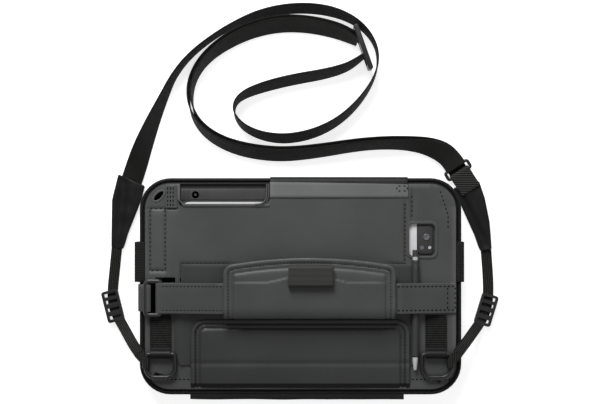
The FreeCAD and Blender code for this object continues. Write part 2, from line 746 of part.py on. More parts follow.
# ---------------------------------------------------------------- D-rings, their webbing and the sewn loops
sleeve_bore = dring_bar_r + running_gap
sleeve_r = sleeve_bore + sleeve_wall
dring_z = z_back + sleeve_r
dring_reach = dring_w / 2 - dring_bar_r
dring_bow_y = dring_axis_y - dring_h + 2 * dring_bar_r
wrap_bore = dring_bar_r + wrap_play
wrap_r = wrap_bore + narrow_t
sleeve_half = dring_reach - wrap_r - running_gap
ring_places = [("left", -1, left + dring_inset_left), ("right", 1, right - dring_inset_right)]
webbing_starts = {}
for name, side, centre_x in ring_places:
    path = [(V(centre_x - dring_reach, dring_axis_y, dring_z), dring_corner_r),
            (V(centre_x - dring_reach, dring_bow_y, dring_z), dring_bow_r),
            (V(centre_x + dring_reach, dring_bow_y, dring_z), dring_bow_r),
            (V(centre_x + dring_reach, dring_axis_y, dring_z), dring_corner_r)]
    dring = bent_rod(path, dring_bar_r)
    save("dring_" + name, dring)

    roll_start = V(centre_x - sleeve_half, dring_axis_y, dring_z)
    roll_end = V(centre_x + sleeve_half, dring_axis_y, dring_z)
    sleeve = rod(sleeve_r, roll_start, roll_end)
    patch_low = dring_axis_y + sleeve_r + patch_from_sleeve
    foot = slab(centre_x - sleeve_half, centre_x + sleeve_half, dring_axis_y, patch_low,
                z_back, z_back + leather, 0.0)
    patch = slab(centre_x - webbing_w / 2, centre_x + webbing_w / 2, patch_low, patch_low + patch_length,
                 z_back, z_back + webbing_t, 0.0)
    sleeve = sleeve.fuse([foot, patch]).cut(rod(sleeve_bore, roll_start, roll_end))
    save("dring_webbing_" + name, sleeve.removeSplitter())

    leg_x = centre_x + side * dring_reach
    wrap_high = dring_axis_y - dring_corner_r - wrap_play
    wrap_low = wrap_high - narrow_w
    wrap = rod(wrap_r, V(leg_x, wrap_low, dring_z), V(leg_x, wrap_high, dring_z))
    lead = V(side * math.cos(math.radians(loop_angle)), math.sin(math.radians(loop_angle)), 0)
    tail_end = V(leg_x, (wrap_low + wrap_high) / 2, dring_z) + lead * loop_tail
    outer_end = tail_end + V(side * lead.y, -side * lead.x, 0) * (narrow_w / 2)
    inner_end = tail_end * 2 - outer_end
    tail = plate([(leg_x, wrap_low, 0.0), (outer_end.x, outer_end.y, 0.0), (inner_end.x, inner_end.y, 0.0),
                  (leg_x, wrap_high, 0.0)], dring_z - narrow_t, dring_z + narrow_t)
    tail = tail.cut(bent_rod(path, dring_bar_r + wrap_play))
    webbing_starts[name] = tail_end + lead * loop_to_webbing
    wrap = wrap.fuse(tail).cut(rod(wrap_bore, V(leg_x, wrap_low, dring_z), V(leg_x, wrap_high, dring_z)))
    save("strap_loop_" + name, wrap.removeSplitter())


# ---------------------------------------------------------------- shoulder strap: flat webbing along a route
def run_and_arc_path(route):
    """Places and directions along straight runs joined by tangent arcs. Prints the smallest radius."""
    points = [V(x, y, z) for x, y, z, lean in route]
    leans = [lean for x, y, z, lean in route]
    stations = [(points[0], (points[1] - points[0]).normalize(), leans[0])]
    smallest = 1e9
    length = 0.0
    for index in range(1, len(points) - 1):
        before = points[index - 1] - points[index]
        after = points[index + 1] - points[index]
        shorter = min(before.Length, after.Length)
        turn = math.pi - before.getAngle(after)
        reach = 0.45 * shorter
        radius = reach / math.tan(turn / 2)
        smallest = min(smallest, radius)
        start = points[index] + before * (reach / before.Length)
        end = points[index] + after * (reach / after.Length)
        bisector = (before.normalize() + after.normalize()).normalize()
        centre = points[index] + bisector * (radius / math.cos(turn / 2))
        axis = (centre - start).cross(centre - end)
        for part in range(5):
            swing = FreeCAD.Rotation(axis, math.degrees(turn * part / 4))
            place = centre + swing.multVec(start - centre)
            ahead = swing.multVec(before * -1).normalize()
            share = 0.45 * (part - 2) / 2
            other = index + (1 if part > 2 else -1)
            lean = leans[index] + abs(share) * (leans[other] - leans[index])
            stations.append((place, ahead, lean))
    stations.append((points[-1], (points[-1] - points[-2]).normalize(), leans[-1]))
    for one, two in zip(stations, stations[1:]):
        length += one[0].distanceToPoint(two[0])
    return stations, smallest, length


def webbing(name, route, width, thickness):
    """Webbing of one width along a route of (x, y, z, lean); lean is 0 or 180 flat and 90 on edge."""
    stations, smallest, length = run_and_arc_path(route)
    sections = []
    for place, ahead, lean in stations:
        across = ahead.cross(V(0, 0, 1)).normalize()
        upward = across.cross(ahead)
        wide = across * math.cos(math.radians(lean)) + upward * math.sin(math.radians(lean))
        thick = ahead.cross(wide) * (thickness / 2)
        wide = wide * (width / 2)
        corners = [place - wide - thick, place + wide - thick, place + wide + thick, place - wide + thick]
        sections.append(Part.makePolygon(corners + corners[:1]))
    band = Part.makeLoft(sections, True, True)
    volume = length * width * thickness
    print(name, "length", round(length), "smallest radius", round(smallest, 1),
          "volume share", round(band.Volume / volume, 3))
    return band


def laid(route):
    """Route drawn for the usual case, spread to the present one."""
    return [(x * lay_spread, y * lay_stretch, z, lean) for x, y, z, lean in route]


# narrow webbing from each sewn loop down to the table, through its ladder lock and into the leather end
narrow_left_start = (webbing_starts["left"].x, webbing_starts["left"].y, dring_z, 0)
narrow_right_start = (webbing_starts["right"].x, webbing_starts["right"].y, dring_z, 0)
narrow_left_route = [
    (-154.8, -53.2, 25.0, 0), (-159.0, -47.2, 19.5, 0), (-163.4, -40.9, 12.5, 0), (-167.8, -34.6, 6.5, 0),
    (-172.2, -27.4, 3.6, 0), (-175.6, -18.9, 3.4, 0), (-177.0, -9.5, 2.9, 0), (-176.8, 1.0, 2.0, 0),
    (-175.6, 12.8, 1.4, 0), (-174.3, 25.4, 1.8, 0), (-173.0, 38.5, 2.6, 0)]
narrow_right_route = [
    (151.1, -53.6, 25.0, 0), (156.0, -48.2, 19.5, 0), (161.0, -42.6, 12.5, 0), (166.0, -37.0, 6.5, 0),
    (170.6, -30.4, 3.6, 0), (174.2, -22.4, 3.4, 0), (176.2, -13.0, 2.9, 0), (177.0, -2.6, 2.0, 0),
    (176.7, 9.8, 1.4, 0), (175.7, 23.4, 1.8, 0), (174.6, 37.0, 2.6, 0)]
narrow_left_route = [narrow_left_start] + laid(narrow_left_route)
narrow_right_route = [narrow_right_start] + laid(narrow_right_route)
save("narrow_webbing_left", webbing("narrow_webbing_left", narrow_left_route, narrow_w, narrow_t))
save("narrow_webbing_right", webbing("narrow_webbing_right", narrow_right_route, narrow_w, narrow_t))

# main webbing from the left leather end, round its loops, to the slider
main_route = [
    (-159.4, 99.6, 2.6, 178), (-154.8, 113.2, 3.0, 170), (-149.6, 129.0, 5.6, 152), (-143.0, 146.0, 7.8, 135),
    (-135.6, 163.4, 9.2, 120), (-127.0, 182.0, 9.9, 108), (-119.0, 199.0, 10.2, 101), (-104.6, 217.4, 10.2, 99),
    (-84.0, 234.0, 10.2, 98), (-62.0, 247.4, 10.2, 99), (-40.0, 256.4, 10.0, 107), (-17.4, 261.4, 9.8, 111),
    (6.6, 262.6, 9.7, 113), (29.0, 259.6, 9.8, 112), (48.6, 252.0, 10.0, 106), (62.6, 240.6, 10.2, 99),
    (71.2, 226.4, 10.2, 93), (73.0, 212.0, 10.2, 90), (69.6, 197.6, 10.2, 86), (61.8, 183.6, 10.2, 80),
    (50.6, 169.6, 10.1, 75), (37.0, 157.4, 9.9, 71), (20.0, 147.6, 9.7, 67), (1.4, 141.6, 9.6, 65),
    (-18.6, 139.4, 9.6, 65), (-39.0, 143.0, 9.8, 69), (-55.0, 151.4, 10.1, 76), (-62.8, 163.4, 10.2, 88),
    (-61.4, 174.0, 10.2, 98), (-52.6, 181.6, 9.9, 109), (-37.6, 187.4, 9.6, 114), (-20.0, 192.4, 9.5, 116),
    (0.0, 196.6, 9.5, 116), (20.0, 200.0, 9.6, 115), (38.0, 204.6, 9.8, 112), (50.0, 210.4, 10.0, 106),
    (58.6, 217.0, 10.2, 100)]
save("main_webbing", webbing("main_webbing", laid(main_route), webbing_w, webbing_t))

# doubled webbing between the slider and the adapter ring: outer and inner layer
outer_route = [
    (55.6, 233.6, 10.0, 74), (43.6, 239.6, 9.4, 62), (28.6, 244.6, 8.9, 56), (10.0, 248.4, 8.7, 54),
    (-9.6, 250.0, 8.6, 53), (-28.0, 248.2, 8.7, 54), (-46.0, 243.6, 8.9, 56), (-63.6, 236.0, 9.2, 59),
    (-80.0, 225.6, 9.6, 66), (-93.0, 213.4, 10.0, 73), (-101.6, 199.6, 10.2, 79), (-105.4, 185.0, 10.2, 84),
    (-104.6, 170.6, 10.2, 91), (-99.6, 157.0, 10.2, 100), (-90.0, 145.4, 9.9, 108), (-76.0, 136.0, 9.6, 114),
    (-58.0, 129.2, 9.3, 119), (-39.0, 125.4, 9.2, 121), (-18.0, 123.8, 9.2, 121), (3.0, 125.2, 9.3, 119),
    (24.0, 128.0, 9.5, 117), (44.0, 131.2, 9.6, 115), (63.0, 133.6, 9.6, 114), (82.0, 134.6, 9.6, 115),
    (101.0, 134.2, 9.3, 119), (118.4, 132.0, 10.2, 133), (132.4, 127.4, 8.7, 155), (141.4, 121.0, 6.15, 180),
    (146.2, 113.6, 6.15, 180)]
inner_route = [
    (53.4, 230.4, 10.0, 74), (42.4, 236.6, 9.4, 62), (27.9, 241.8, 8.9, 56), (9.6, 245.6, 8.7, 54),
    (-9.6, 247.0, 8.6, 53), (-27.5, 245.3, 8.7, 54), (-45.1, 240.8, 8.9, 56), (-62.2, 233.4, 9.2, 59),
    (-78.2, 223.3, 9.6, 66), (-90.7, 211.5, 10.0, 73), (-98.8, 198.5, 10.2, 79), (-102.4, 184.8, 10.2, 84),
    (-101.7, 171.3, 10.2, 91), (-97.1, 158.6, 10.2, 100), (-88.2, 147.8, 9.9, 108), (-74.8, 138.7, 9.6, 114),
    (-57.2, 132.1, 9.3, 119), (-38.7, 128.4, 9.2, 121), (-18.0, 126.8, 9.2, 121), (2.7, 128.2, 9.3, 119),
    (23.6, 131.0, 9.5, 117), (43.6, 134.2, 9.6, 115), (62.8, 136.6, 9.6, 114), (82.1, 137.6, 9.6, 115),
    (101.3, 137.0, 9.3, 119), (118.8, 134.4, 8.2, 133), (132.8, 129.0, 5.4, 155), (141.4, 121.0, 1.45, 180),
    (146.2, 113.6, 1.45, 180)]
outer_route = laid(outer_route)
inner_route = laid(inner_route)

# adapter ring: the doubled webbing folds round its near bar, the leather end's webbing round its far bar
adapter_fall = outer_route[-1][1] - outer_route[-2][1]
adapter_run = outer_route[-1][0] - outer_route[-2][0]
adapter_angle = math.degrees(math.atan2(adapter_fall, adapter_run))
adapter_half = webbing_w / 2 + adapter_play
fold_bore = adapter_bar_r + wrap_play
fold_r = fold_bore + webbing_t
bar_z = inner_route[-1][2] + webbing_t / 2 + fold_bore
adapter_place = V(outer_route[-1][0], outer_route[-1][1], bar_z)
adapter_path = [(V(0, -adapter_half, 0), adapter_r), (V(adapter_span, -adapter_half, 0), adapter_r),
                (V(adapter_span, adapter_half, 0), adapter_r), (V(0, adapter_half, 0), adapter_r)]
save("adapter_ring", turned(bent_rod(adapter_path, adapter_bar_r), adapter_angle, adapter_place))


def half_fold(bar_x, side):
    """Half tube of webbing round a bar of the adapter ring, on the side that faces the ring's middle."""
    start = V(bar_x, -webbing_w / 2, 0)
    end = V(bar_x, webbing_w / 2, 0)
    tube = rod(fold_r, start, end).cut(rod(fold_bore, start, end))
    corner_x = bar_x if side > 0 else bar_x - fold_r
    return tube.common(Part.makeBox(fold_r, webbing_w, 2 * fold_r, V(corner_x, -webbing_w / 2, -fold_r)))


fold_half = half_fold(0, 1)
ring_strap = half_fold(adapter_span, -1)
for z0 in (-fold_r, fold_bore):
    layer = slab(adapter_span, adapter_span + ring_strap_l, -webbing_w / 2, webbing_w / 2, z0, z0 + webbing_t)
    ring_strap = ring_strap.fuse(layer)
save("ring_webbing", turned(ring_strap.removeSplitter(), adapter_angle, adapter_place))

save("doubled_webbing_outer", webbing("doubled_webbing_outer", outer_route, webbing_w, webbing_t))
inner_layer = webbing("doubled_webbing_inner", inner_route, webbing_w, webbing_t)
save("doubled_webbing_inner", Part.makeCompound([inner_layer, turned(fold_half, adapter_angle, adapter_place)]))

# ---------------------------------------------------------------- shoulder strap: hardware
def on_table(x, y):
    """Place on the table, spread to the present case."""
    return V(x * lay_spread, y * lay_stretch, table_gap)


def end_corners(corners):
    return [(x * lay_spread, y * lay_stretch, radius) for x, y, radius in corners]


lock_body = slab(-lock_w / 2, lock_w / 2, -lock_l / 2, lock_l / 2, 0, lock_t, lock_r)
lock_slot_w = narrow_w / 2 + lock_play
for slot_y in lock_slots:
    lock_body = lock_body.cut(slab(-lock_slot_w, lock_slot_w, slot_y - lock_slot_half, slot_y + lock_slot_half,
                                   0, lock_t, lock_slot_r))
lock_rise = V(0, 0, lock_lift - table_gap)
save("ladder_lock_left", turned(lock_body, lock_turn_left, on_table(-176.6, -17.5) + lock_rise))
save("ladder_lock_right", turned(lock_body, lock_turn_right, on_table(174.8, -21.0) + lock_rise))

end_top = table_gap + leather_end_t
left_end = end_corners([(-171.6, 106.5, 1.0), (-146.6, 95.6, 1.5), (-150.0, 82.0, 4.0),
                        (-167.2, 38.6, 1.5), (-178.1, 41.0, 1.5), (-177.5, 82.3, 8.0)])
right_end = end_corners([(168.2, 100.0, 1.0), (143.8, 93.6, 1.5), (169.4, 36.7, 1.5),
                         (180.0, 38.6, 1.5), (178.0, 62.0, 8.0), (173.6, 84.0, 8.0)])
save("leather_end_left", plate(left_end, table_gap, end_top))
save("leather_end_right", plate(right_end, table_gap, end_top))

slider = slab(-slider_l / 2, slider_l / 2, -slider_t / 2, slider_t / 2, 0, slider_h, slider_r)
slot_half = webbing_w / 2 + slider_play
for slot_x in (-slider_slot_x, slider_slot_x):
    slider = slider.cut(Part.makeBox(slider_slot_w, slider_t, 2 * slot_half,
                                     V(slot_x - slider_slot_w / 2, -slider_t / 2, slider_h / 2 - slot_half)))
save("strap_slider", turned(slider, slider_turn, on_table(58.4, 225.0)))
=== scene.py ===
import math

import bmesh
import bpy
from mathutils import Matrix, Vector, noise
from mathutils.bvhtree import BVHTree


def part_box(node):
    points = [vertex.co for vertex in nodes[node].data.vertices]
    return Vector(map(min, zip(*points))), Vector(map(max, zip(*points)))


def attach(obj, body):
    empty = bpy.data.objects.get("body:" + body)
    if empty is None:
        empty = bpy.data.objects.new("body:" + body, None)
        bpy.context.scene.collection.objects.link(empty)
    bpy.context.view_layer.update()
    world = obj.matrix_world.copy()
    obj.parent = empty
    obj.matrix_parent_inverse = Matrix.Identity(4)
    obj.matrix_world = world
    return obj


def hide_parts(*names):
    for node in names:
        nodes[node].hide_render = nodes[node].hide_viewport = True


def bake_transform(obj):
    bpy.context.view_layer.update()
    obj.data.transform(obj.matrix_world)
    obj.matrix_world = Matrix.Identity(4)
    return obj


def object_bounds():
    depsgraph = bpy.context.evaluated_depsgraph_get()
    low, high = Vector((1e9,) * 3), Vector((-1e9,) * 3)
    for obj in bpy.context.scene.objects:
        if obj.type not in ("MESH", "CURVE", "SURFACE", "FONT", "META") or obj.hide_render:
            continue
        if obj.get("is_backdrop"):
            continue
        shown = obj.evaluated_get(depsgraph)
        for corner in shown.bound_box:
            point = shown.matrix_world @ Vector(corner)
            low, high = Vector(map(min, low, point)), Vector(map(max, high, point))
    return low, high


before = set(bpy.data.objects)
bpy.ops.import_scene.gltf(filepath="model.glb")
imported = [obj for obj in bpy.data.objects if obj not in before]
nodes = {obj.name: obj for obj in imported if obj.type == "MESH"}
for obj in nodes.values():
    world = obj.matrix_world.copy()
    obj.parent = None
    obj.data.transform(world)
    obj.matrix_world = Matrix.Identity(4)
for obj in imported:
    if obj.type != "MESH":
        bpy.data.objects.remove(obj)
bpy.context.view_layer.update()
mm = 0.001

# ------------------------------------------------------------------ table, lamps and camera
# The object lies on a plain white table under one broad soft lamp beyond its top edge and a pale room.
# The camera looks straight down at it.
table_mesh = bpy.data.meshes.new("table")
bm = bmesh.new()
bmesh.ops.create_grid(bm, x_segments=1, y_segments=1, size=4.0)
bm.to_mesh(table_mesh)
bm.free()
table = bpy.data.objects.new("table", table_mesh)
table.location.z = -0.3 * mm
bpy.context.collection.objects.link(table)
table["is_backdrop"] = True


def new_finish(name):
    """Empty node material, with a function that adds a node and its values and one that links two sockets."""
    finish = bpy.data.materials.new(name)
    finish.use_nodes = True
    tree = finish.node_tree
    tree.nodes.clear()

    def add(kind, **values):
        node = tree.nodes.new("ShaderNode" + kind)
        for label, value in values.items():
            node.inputs[label.replace("_", " ")].default_value = value
        return node

    return finish, add, tree.links.new


table_finish, add, wire = new_finish("white_table")
paint = add("BsdfDiffuse", Color=(0.8, 0.8, 0.8, 1))
glow = add("Emission", Strength=0.75)
seen = add("LightPath")
seen_directly = add("Math")
seen_directly.operation = "MAXIMUM"
shown = add("MixShader")
both = add("AddShader")
wire(seen.outputs["Is Camera Ray"], seen_directly.inputs[0])
wire(seen.outputs["Is Glossy Ray"], seen_directly.inputs[1])
wire(paint.outputs[0], both.inputs[0])
wire(glow.outputs[0], both.inputs[1])
wire(seen_directly.outputs[0], shown.inputs["Fac"])
wire(paint.outputs[0], shown.inputs[1])
wire(both.outputs[0], shown.inputs[2])
wire(shown.outputs[0], add("OutputMaterial").inputs["Surface"])
table_mesh.materials.append(table_finish)

room = bpy.data.worlds.new("room")
room.use_nodes = True
room.node_tree.nodes["Background"].inputs["Color"].default_value = (1, 1, 1, 1)
room.node_tree.nodes["Background"].inputs["Strength"].default_value = 0.19
bpy.context.scene.world = room

for name, place, size, power in (("soft_lamp", (-0.3, 1.3, 1.0), 0.8, 28.0),
                                 ("fill_lamp", (0.5, -0.6, 1.6), 1.4, 3.0)):
    lamp_data = bpy.data.lights.new(name, "AREA")
    lamp_data.shape = "SQUARE"
    lamp_data.size = size
    lamp_data.energy = power
    lamp = bpy.data.objects.new(name, lamp_data)
    bpy.context.collection.objects.link(lamp)
    lamp.location = place
    lamp.rotation_euler = (Vector((0, 0.05, 0)) - Vector(place)).to_track_quat("-Z", "Y").to_euler()

view_middle = Vector((-0.0005, 0.0804, 0))
camera_data = bpy.data.cameras.new("camera")
camera_data.sensor_width = 36.0
camera_data.lens = 101.7
camera = bpy.data.objects.new("camera", camera_data)
camera.location = view_middle + Vector((0, 0, 1.6))
bpy.context.collection.objects.link(camera)
bpy.context.scene.camera = camera
bpy.context.scene.view_settings.view_transform = "Standard"

# ------------------------------------------------------------------ shoulder strap: woven webbing
# Black woven webbing, 20 mm wide between the leather ends and 10 mm wide below them, 1.5 mm thick, with ribs
# across it. It lies loose on the table, leaning over on its lower edge where it turns.


def two_tones(add, dark, light):
    """Colour ramp from a dark to a light tone."""
    colour = add("ValToRGB")
    colour.color_ramp.elements[0].color = (*dark, 1)
    colour.color_ramp.elements[1].color = (*light, 1)
    return colour


def dress_surface(add, wire, surface, colour, gloss=None, height=None, depth=0.0, strength=1.0):
    """Joins tone, sheen and relief to a surface, and the surface to the output."""
    wire(colour, surface.inputs["Base Color"])
    if gloss:
        wire(gloss, surface.inputs["Roughness"])
    if height:
        relief = add("Bump", Distance=depth, Strength=strength)
        wire(height, relief.inputs["Height"])
        wire(relief.outputs["Normal"], surface.inputs["Normal"])
    wire(surface.outputs[0], add("OutputMaterial").inputs["Surface"])


def webbing_finish(name, tone, pitch, rib_height, along=None):
    """Woven webbing with ribs across its length, which is the UV map's V or the given axis of the object."""
    finish, add, wire = new_finish(name)
    surface = add("BsdfPrincipled", Roughness=0.72, Sheen_Weight=0.04, Sheen_Roughness=0.5,
                  Specular_IOR_Level=0.2)
    place = add("TexCoord")
    slope = add("Mapping", Rotation=(0, 0, 0 if along else math.radians(16)))
    ribs = add("TexWave", Scale=math.pi / 10 / pitch, Distortion=0.5, Detail_Scale=40.0)
    ribs.bands_direction = along or "Y"
    yarns = add("TexWave", Scale=math.pi / 10 / (pitch * 0.45), Distortion=1.0)
    yarns.bands_direction = "Y" if along == "X" else "X"
    # The tone follows the ribs: dark in their troughs as painted shade, light on their crests as painted
    # highlight.
    colour = two_tones(add, (tone * 0.1, tone * 0.1, tone * 0.1), (tone * 2.3, tone * 2.3, tone * 2.1))
    height = add("Math")
    height.operation = "MULTIPLY_ADD"
    height.inputs[1].default_value = 0.3
    wire(place.outputs["Object" if along else "UV"], slope.inputs["Vector"])
    for weave in (ribs, yarns):
        wire(slope.outputs[0], weave.inputs["Vector"])
    wire(ribs.outputs["Fac"], colour.inputs["Fac"])
    wire(yarns.outputs["Fac"], height.inputs[0])
    wire(ribs.outputs["Fac"], height.inputs[2])
    dress_surface(add, wire, surface, colour.outputs["Color"], height=height.outputs[0], depth=rib_height,
                  strength=0.9)
    return finish


def piece(name, mesh, finish, body, replaced=(), sharp=35):
    """Object from a finished mesh: its material, its body and the solids that it stands for.

    A bending piece has (body, body, start, end) in place of its body; this tuple is not used, and the piece stays
    fixed where it lies."""
    if isinstance(mesh, bmesh.types.BMesh):
        built = bpy.data.meshes.new(name)
        mesh.to_mesh(built)
        mesh.free()
        mesh = built
    mesh.name = name
    mesh.shade_smooth()
    mesh.set_sharp_from_angle(angle=math.radians(sharp))
    mesh.materials.clear()
    mesh.materials.append(finish)
    thing = bpy.data.objects.new(name, mesh)
    bpy.context.collection.objects.link(thing)
    if isinstance(body, str):
        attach(thing, body)
    else:
        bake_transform(thing)
    if replaced:
        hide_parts(*replaced)
    return thing


def ribbon(name, route, width, thickness):
    """Mesh of a flat band along a smooth line, and the points of that line.

    The route's points are (x, y, z, lean): lean 0 or 180 lies flat, 90 stands on edge."""
    line = bpy.data.curves.new(name, "CURVE")
    line.dimensions = "3D"
    line.twist_mode = "Z_UP"
    spline = line.splines.new("NURBS")
    spline.points.add(len(route) - 1)
    for point, (x, y, z, lean) in zip(spline.points, route):
        point.co = (x, y, z, 1)
        point.tilt = math.radians(90 - lean)
    spline.order_u = 3
    spline.use_endpoint_u = True
    spline.resolution_u = 8
    carrier = bpy.data.objects.new(name + "_line", line)
    middle = bpy.data.meshes.new_from_object(carrier)
    path = [vert.co.copy() for vert in middle.vertices]
    line.bevel_depth = thickness / 2
    line.bevel_resolution = 1
    line.extrude = width / 2 - thickness / 2
    line.use_fill_caps = True
    band = bpy.data.meshes.new_from_object(carrier)
    length = sum((two - one).length for one, two in zip(path, path[1:]))
    for corner in band.uv_layers[0].data:
        corner.uv = (corner.uv[0] * 2 * width, corner.uv[1] * length)
    bpy.data.objects.remove(carrier)
    bpy.data.meshes.remove(middle)
    return band, path, length


def second_finish(thing, finish, where):
    """Gives the faces whose middle passes the test another finish."""
    thing.data.materials.append(finish)
    for face in thing.data.polygons:
        if where(face.center):
            face.material_index = 1


webbing_w = 20 * mm
webbing_t = 1.5 * mm
narrow_w = 10 * mm
narrow_t = 1.4 * mm
rib_pitch = 2.1 * mm
webbing_black = webbing_finish("woven_webbing", 0.014, rib_pitch, 0.6 * mm)

main_route = [
    (-0.1594, 0.0996, 0.0026, 178), (-0.1548, 0.1132, 0.003, 170), (-0.1496, 0.129, 0.0056, 152),
    (-0.143, 0.146, 0.0078, 135), (-0.1356, 0.1634, 0.0092, 120), (-0.127, 0.182, 0.0099, 108),
    (-0.119, 0.199, 0.0102, 101), (-0.1046, 0.2174, 0.0102, 99), (-0.084, 0.234, 0.0102, 98),
    (-0.062, 0.2474, 0.0102, 99), (-0.04, 0.2564, 0.01, 107), (-0.0174, 0.2614, 0.0098, 111),
    (0.0066, 0.2626, 0.0097, 113), (0.029, 0.2596, 0.0098, 112), (0.0486, 0.252, 0.01, 106),
    (0.0626, 0.2406, 0.0102, 99), (0.0712, 0.2264, 0.0102, 93), (0.073, 0.212, 0.0102, 90),
    (0.0696, 0.1976, 0.0102, 86), (0.0618, 0.1836, 0.0102, 80), (0.0506, 0.1696, 0.0101, 75),
    (0.037, 0.1574, 0.0099, 71), (0.02, 0.1476, 0.0097, 67), (0.0014, 0.1416, 0.0096, 65),
    (-0.0186, 0.1394, 0.0096, 65), (-0.039, 0.143, 0.0098, 69), (-0.055, 0.1514, 0.0101, 76),
    (-0.0628, 0.1634, 0.0102, 88), (-0.0614, 0.174, 0.0102, 98), (-0.0526, 0.1816, 0.0099, 109),
    (-0.0376, 0.1874, 0.0096, 114), (-0.02, 0.1924, 0.0095, 116), (0, 0.1966, 0.0095, 116),
    (0.02, 0.2, 0.0096, 115), (0.038, 0.2046, 0.0098, 112), (0.05, 0.2104, 0.01, 106),
    (0.0586, 0.217, 0.0102, 100)]
outer_route = [
    (0.0556, 0.2336, 0.01, 74), (0.0436, 0.2396, 0.0094, 62), (0.0286, 0.2446, 0.0089, 56),
    (0.01, 0.2484, 0.0087, 54), (-0.0096, 0.25, 0.0086, 53), (-0.028, 0.2482, 0.0087, 54),
    (-0.046, 0.2436, 0.0089, 56), (-0.0636, 0.236, 0.0092, 59), (-0.08, 0.2256, 0.0096, 66),
    (-0.093, 0.2134, 0.01, 73), (-0.1016, 0.1996, 0.0102, 79), (-0.1054, 0.185, 0.0102, 84),
    (-0.1046, 0.1706, 0.0102, 91), (-0.0996, 0.157, 0.0102, 100), (-0.09, 0.1454, 0.0099, 108),
    (-0.076, 0.136, 0.0096, 114), (-0.058, 0.1292, 0.0093, 119), (-0.039, 0.1254, 0.0092, 121),
    (-0.018, 0.1238, 0.0092, 121), (0.003, 0.1252, 0.0093, 119), (0.024, 0.128, 0.0095, 117),
    (0.044, 0.1312, 0.0096, 115), (0.063, 0.1336, 0.0096, 114), (0.082, 0.1346, 0.0096, 115),
    (0.101, 0.1342, 0.0093, 119), (0.1184, 0.132, 0.0102, 133), (0.1324, 0.1274, 0.0087, 155),
    (0.1414, 0.121, 0.00615, 180), (0.1462, 0.1136, 0.00615, 180)]
inner_route = [
    (0.0534, 0.2304, 0.01, 74), (0.0424, 0.2366, 0.0094, 62), (0.0279, 0.2418, 0.0089, 56),
    (0.0096, 0.2456, 0.0087, 54), (-0.0096, 0.247, 0.0086, 53), (-0.0275, 0.2453, 0.0087, 54),
    (-0.0451, 0.2408, 0.0089, 56), (-0.0622, 0.2334, 0.0092, 59), (-0.0782, 0.2233, 0.0096, 66),
    (-0.0907, 0.2115, 0.01, 73), (-0.0988, 0.1985, 0.0102, 79), (-0.1024, 0.1848, 0.0102, 84),
    (-0.1017, 0.1713, 0.0102, 91), (-0.0971, 0.1586, 0.0102, 100), (-0.0882, 0.1478, 0.0099, 108),
    (-0.0748, 0.1387, 0.0096, 114), (-0.0572, 0.1321, 0.0093, 119), (-0.0387, 0.1284, 0.0092, 121),
    (-0.018, 0.1268, 0.0092, 121), (0.0027, 0.1282, 0.0093, 119), (0.0236, 0.131, 0.0095, 117),
    (0.0436, 0.1342, 0.0096, 115), (0.0628, 0.1366, 0.0096, 114), (0.0821, 0.1376, 0.0096, 115),
    (0.1013, 0.137, 0.0093, 119), (0.1188, 0.1344, 0.0082, 133), (0.1328, 0.129, 0.0054, 155),
    (0.1414, 0.121, 0.00145, 180), (0.1462, 0.1136, 0.00145, 180)]
narrow_left_route = [
    (-0.1501, -0.0596, 0.0273, 0), (-0.1548, -0.0532, 0.025, 0), (-0.159, -0.0472, 0.0195, 0),
    (-0.1634, -0.0409, 0.0125, 0), (-0.1678, -0.0346, 0.0065, 0), (-0.1722, -0.0274, 0.0036, 0),
    (-0.1756, -0.0189, 0.0034, 0), (-0.177, -0.0095, 0.0029, 0), (-0.1768, 0.001, 0.002, 0),
    (-0.1756, 0.0128, 0.0014, 0), (-0.1743, 0.0254, 0.0018, 0), (-0.173, 0.0385, 0.0026, 0)]
narrow_right_route = [
    (0.1461, -0.0596, 0.0273, 0), (0.1511, -0.0536, 0.025, 0), (0.156, -0.0482, 0.0195, 0),
    (0.161, -0.0426, 0.0125, 0), (0.166, -0.037, 0.0065, 0), (0.1706, -0.0304, 0.0036, 0),
    (0.1742, -0.0224, 0.0034, 0), (0.1762, -0.013, 0.0029, 0), (0.177, -0.0026, 0.002, 0),
    (0.1767, 0.0098, 0.0014, 0), (0.1757, 0.0234, 0.0018, 0), (0.1746, 0.037, 0.0026, 0)]
straps = [("main_strap", main_route, webbing_w, webbing_t, "main_webbing"),
          ("doubled_strap_outer", outer_route, webbing_w, webbing_t, "doubled_webbing_outer"),
          ("doubled_strap_inner", inner_route, webbing_w, webbing_t, "doubled_webbing_inner"),
          ("narrow_strap_left", narrow_left_route, narrow_w, narrow_t, "narrow_webbing_left"),
          ("narrow_strap_right", narrow_right_route, narrow_w, narrow_t, "narrow_webbing_right")]
laid_straps = {}
for name, route, width, thickness, node in straps:
    band, path, length = ribbon(name, route, width, thickness)
    laid_straps[name] = (piece(name, band, webbing_black, "case", [node]), path, length, width)

# ------------------------------------------------------------------ shoulder strap: moulded hardware
# Ladder locks, slider, adapter ring, D-rings and the hand strap's ring are black acetal mouldings with
# softened edges. The webbing is threaded through them or folded round their bars and sewn.


def plastic_finish(name, tone, roughness, grain=0.02 * mm, shine=0.5):
    """Moulded plastic: a faintly uneven sheen and a fine spark-eroded texture."""
    finish, add, wire = new_finish(name)
    surface = add("BsdfPrincipled", Specular_IOR_Level=shine)
    place = add("TexCoord")
    cloud = add("TexNoise", Scale=60, Detail=4)
    texture = add("TexNoise", Scale=2500)
    colour = two_tones(add, (tone * 0.8, tone * 0.8, tone * 0.82), (tone * 1.2, tone * 1.2, tone * 1.22))
    gloss = add("MapRange", To_Min=roughness - 0.07, To_Max=roughness + 0.07)
    wire(place.outputs["Object"], cloud.inputs["Vector"])
    wire(place.outputs["Object"], texture.inputs["Vector"])
    wire(cloud.outputs["Fac"], colour.inputs["Fac"])
    wire(cloud.outputs["Fac"], gloss.inputs["Value"])
    dress_surface(add, wire, surface, colour.outputs["Color"], gloss.outputs["Result"], texture.outputs["Fac"],
                  grain)
    return finish


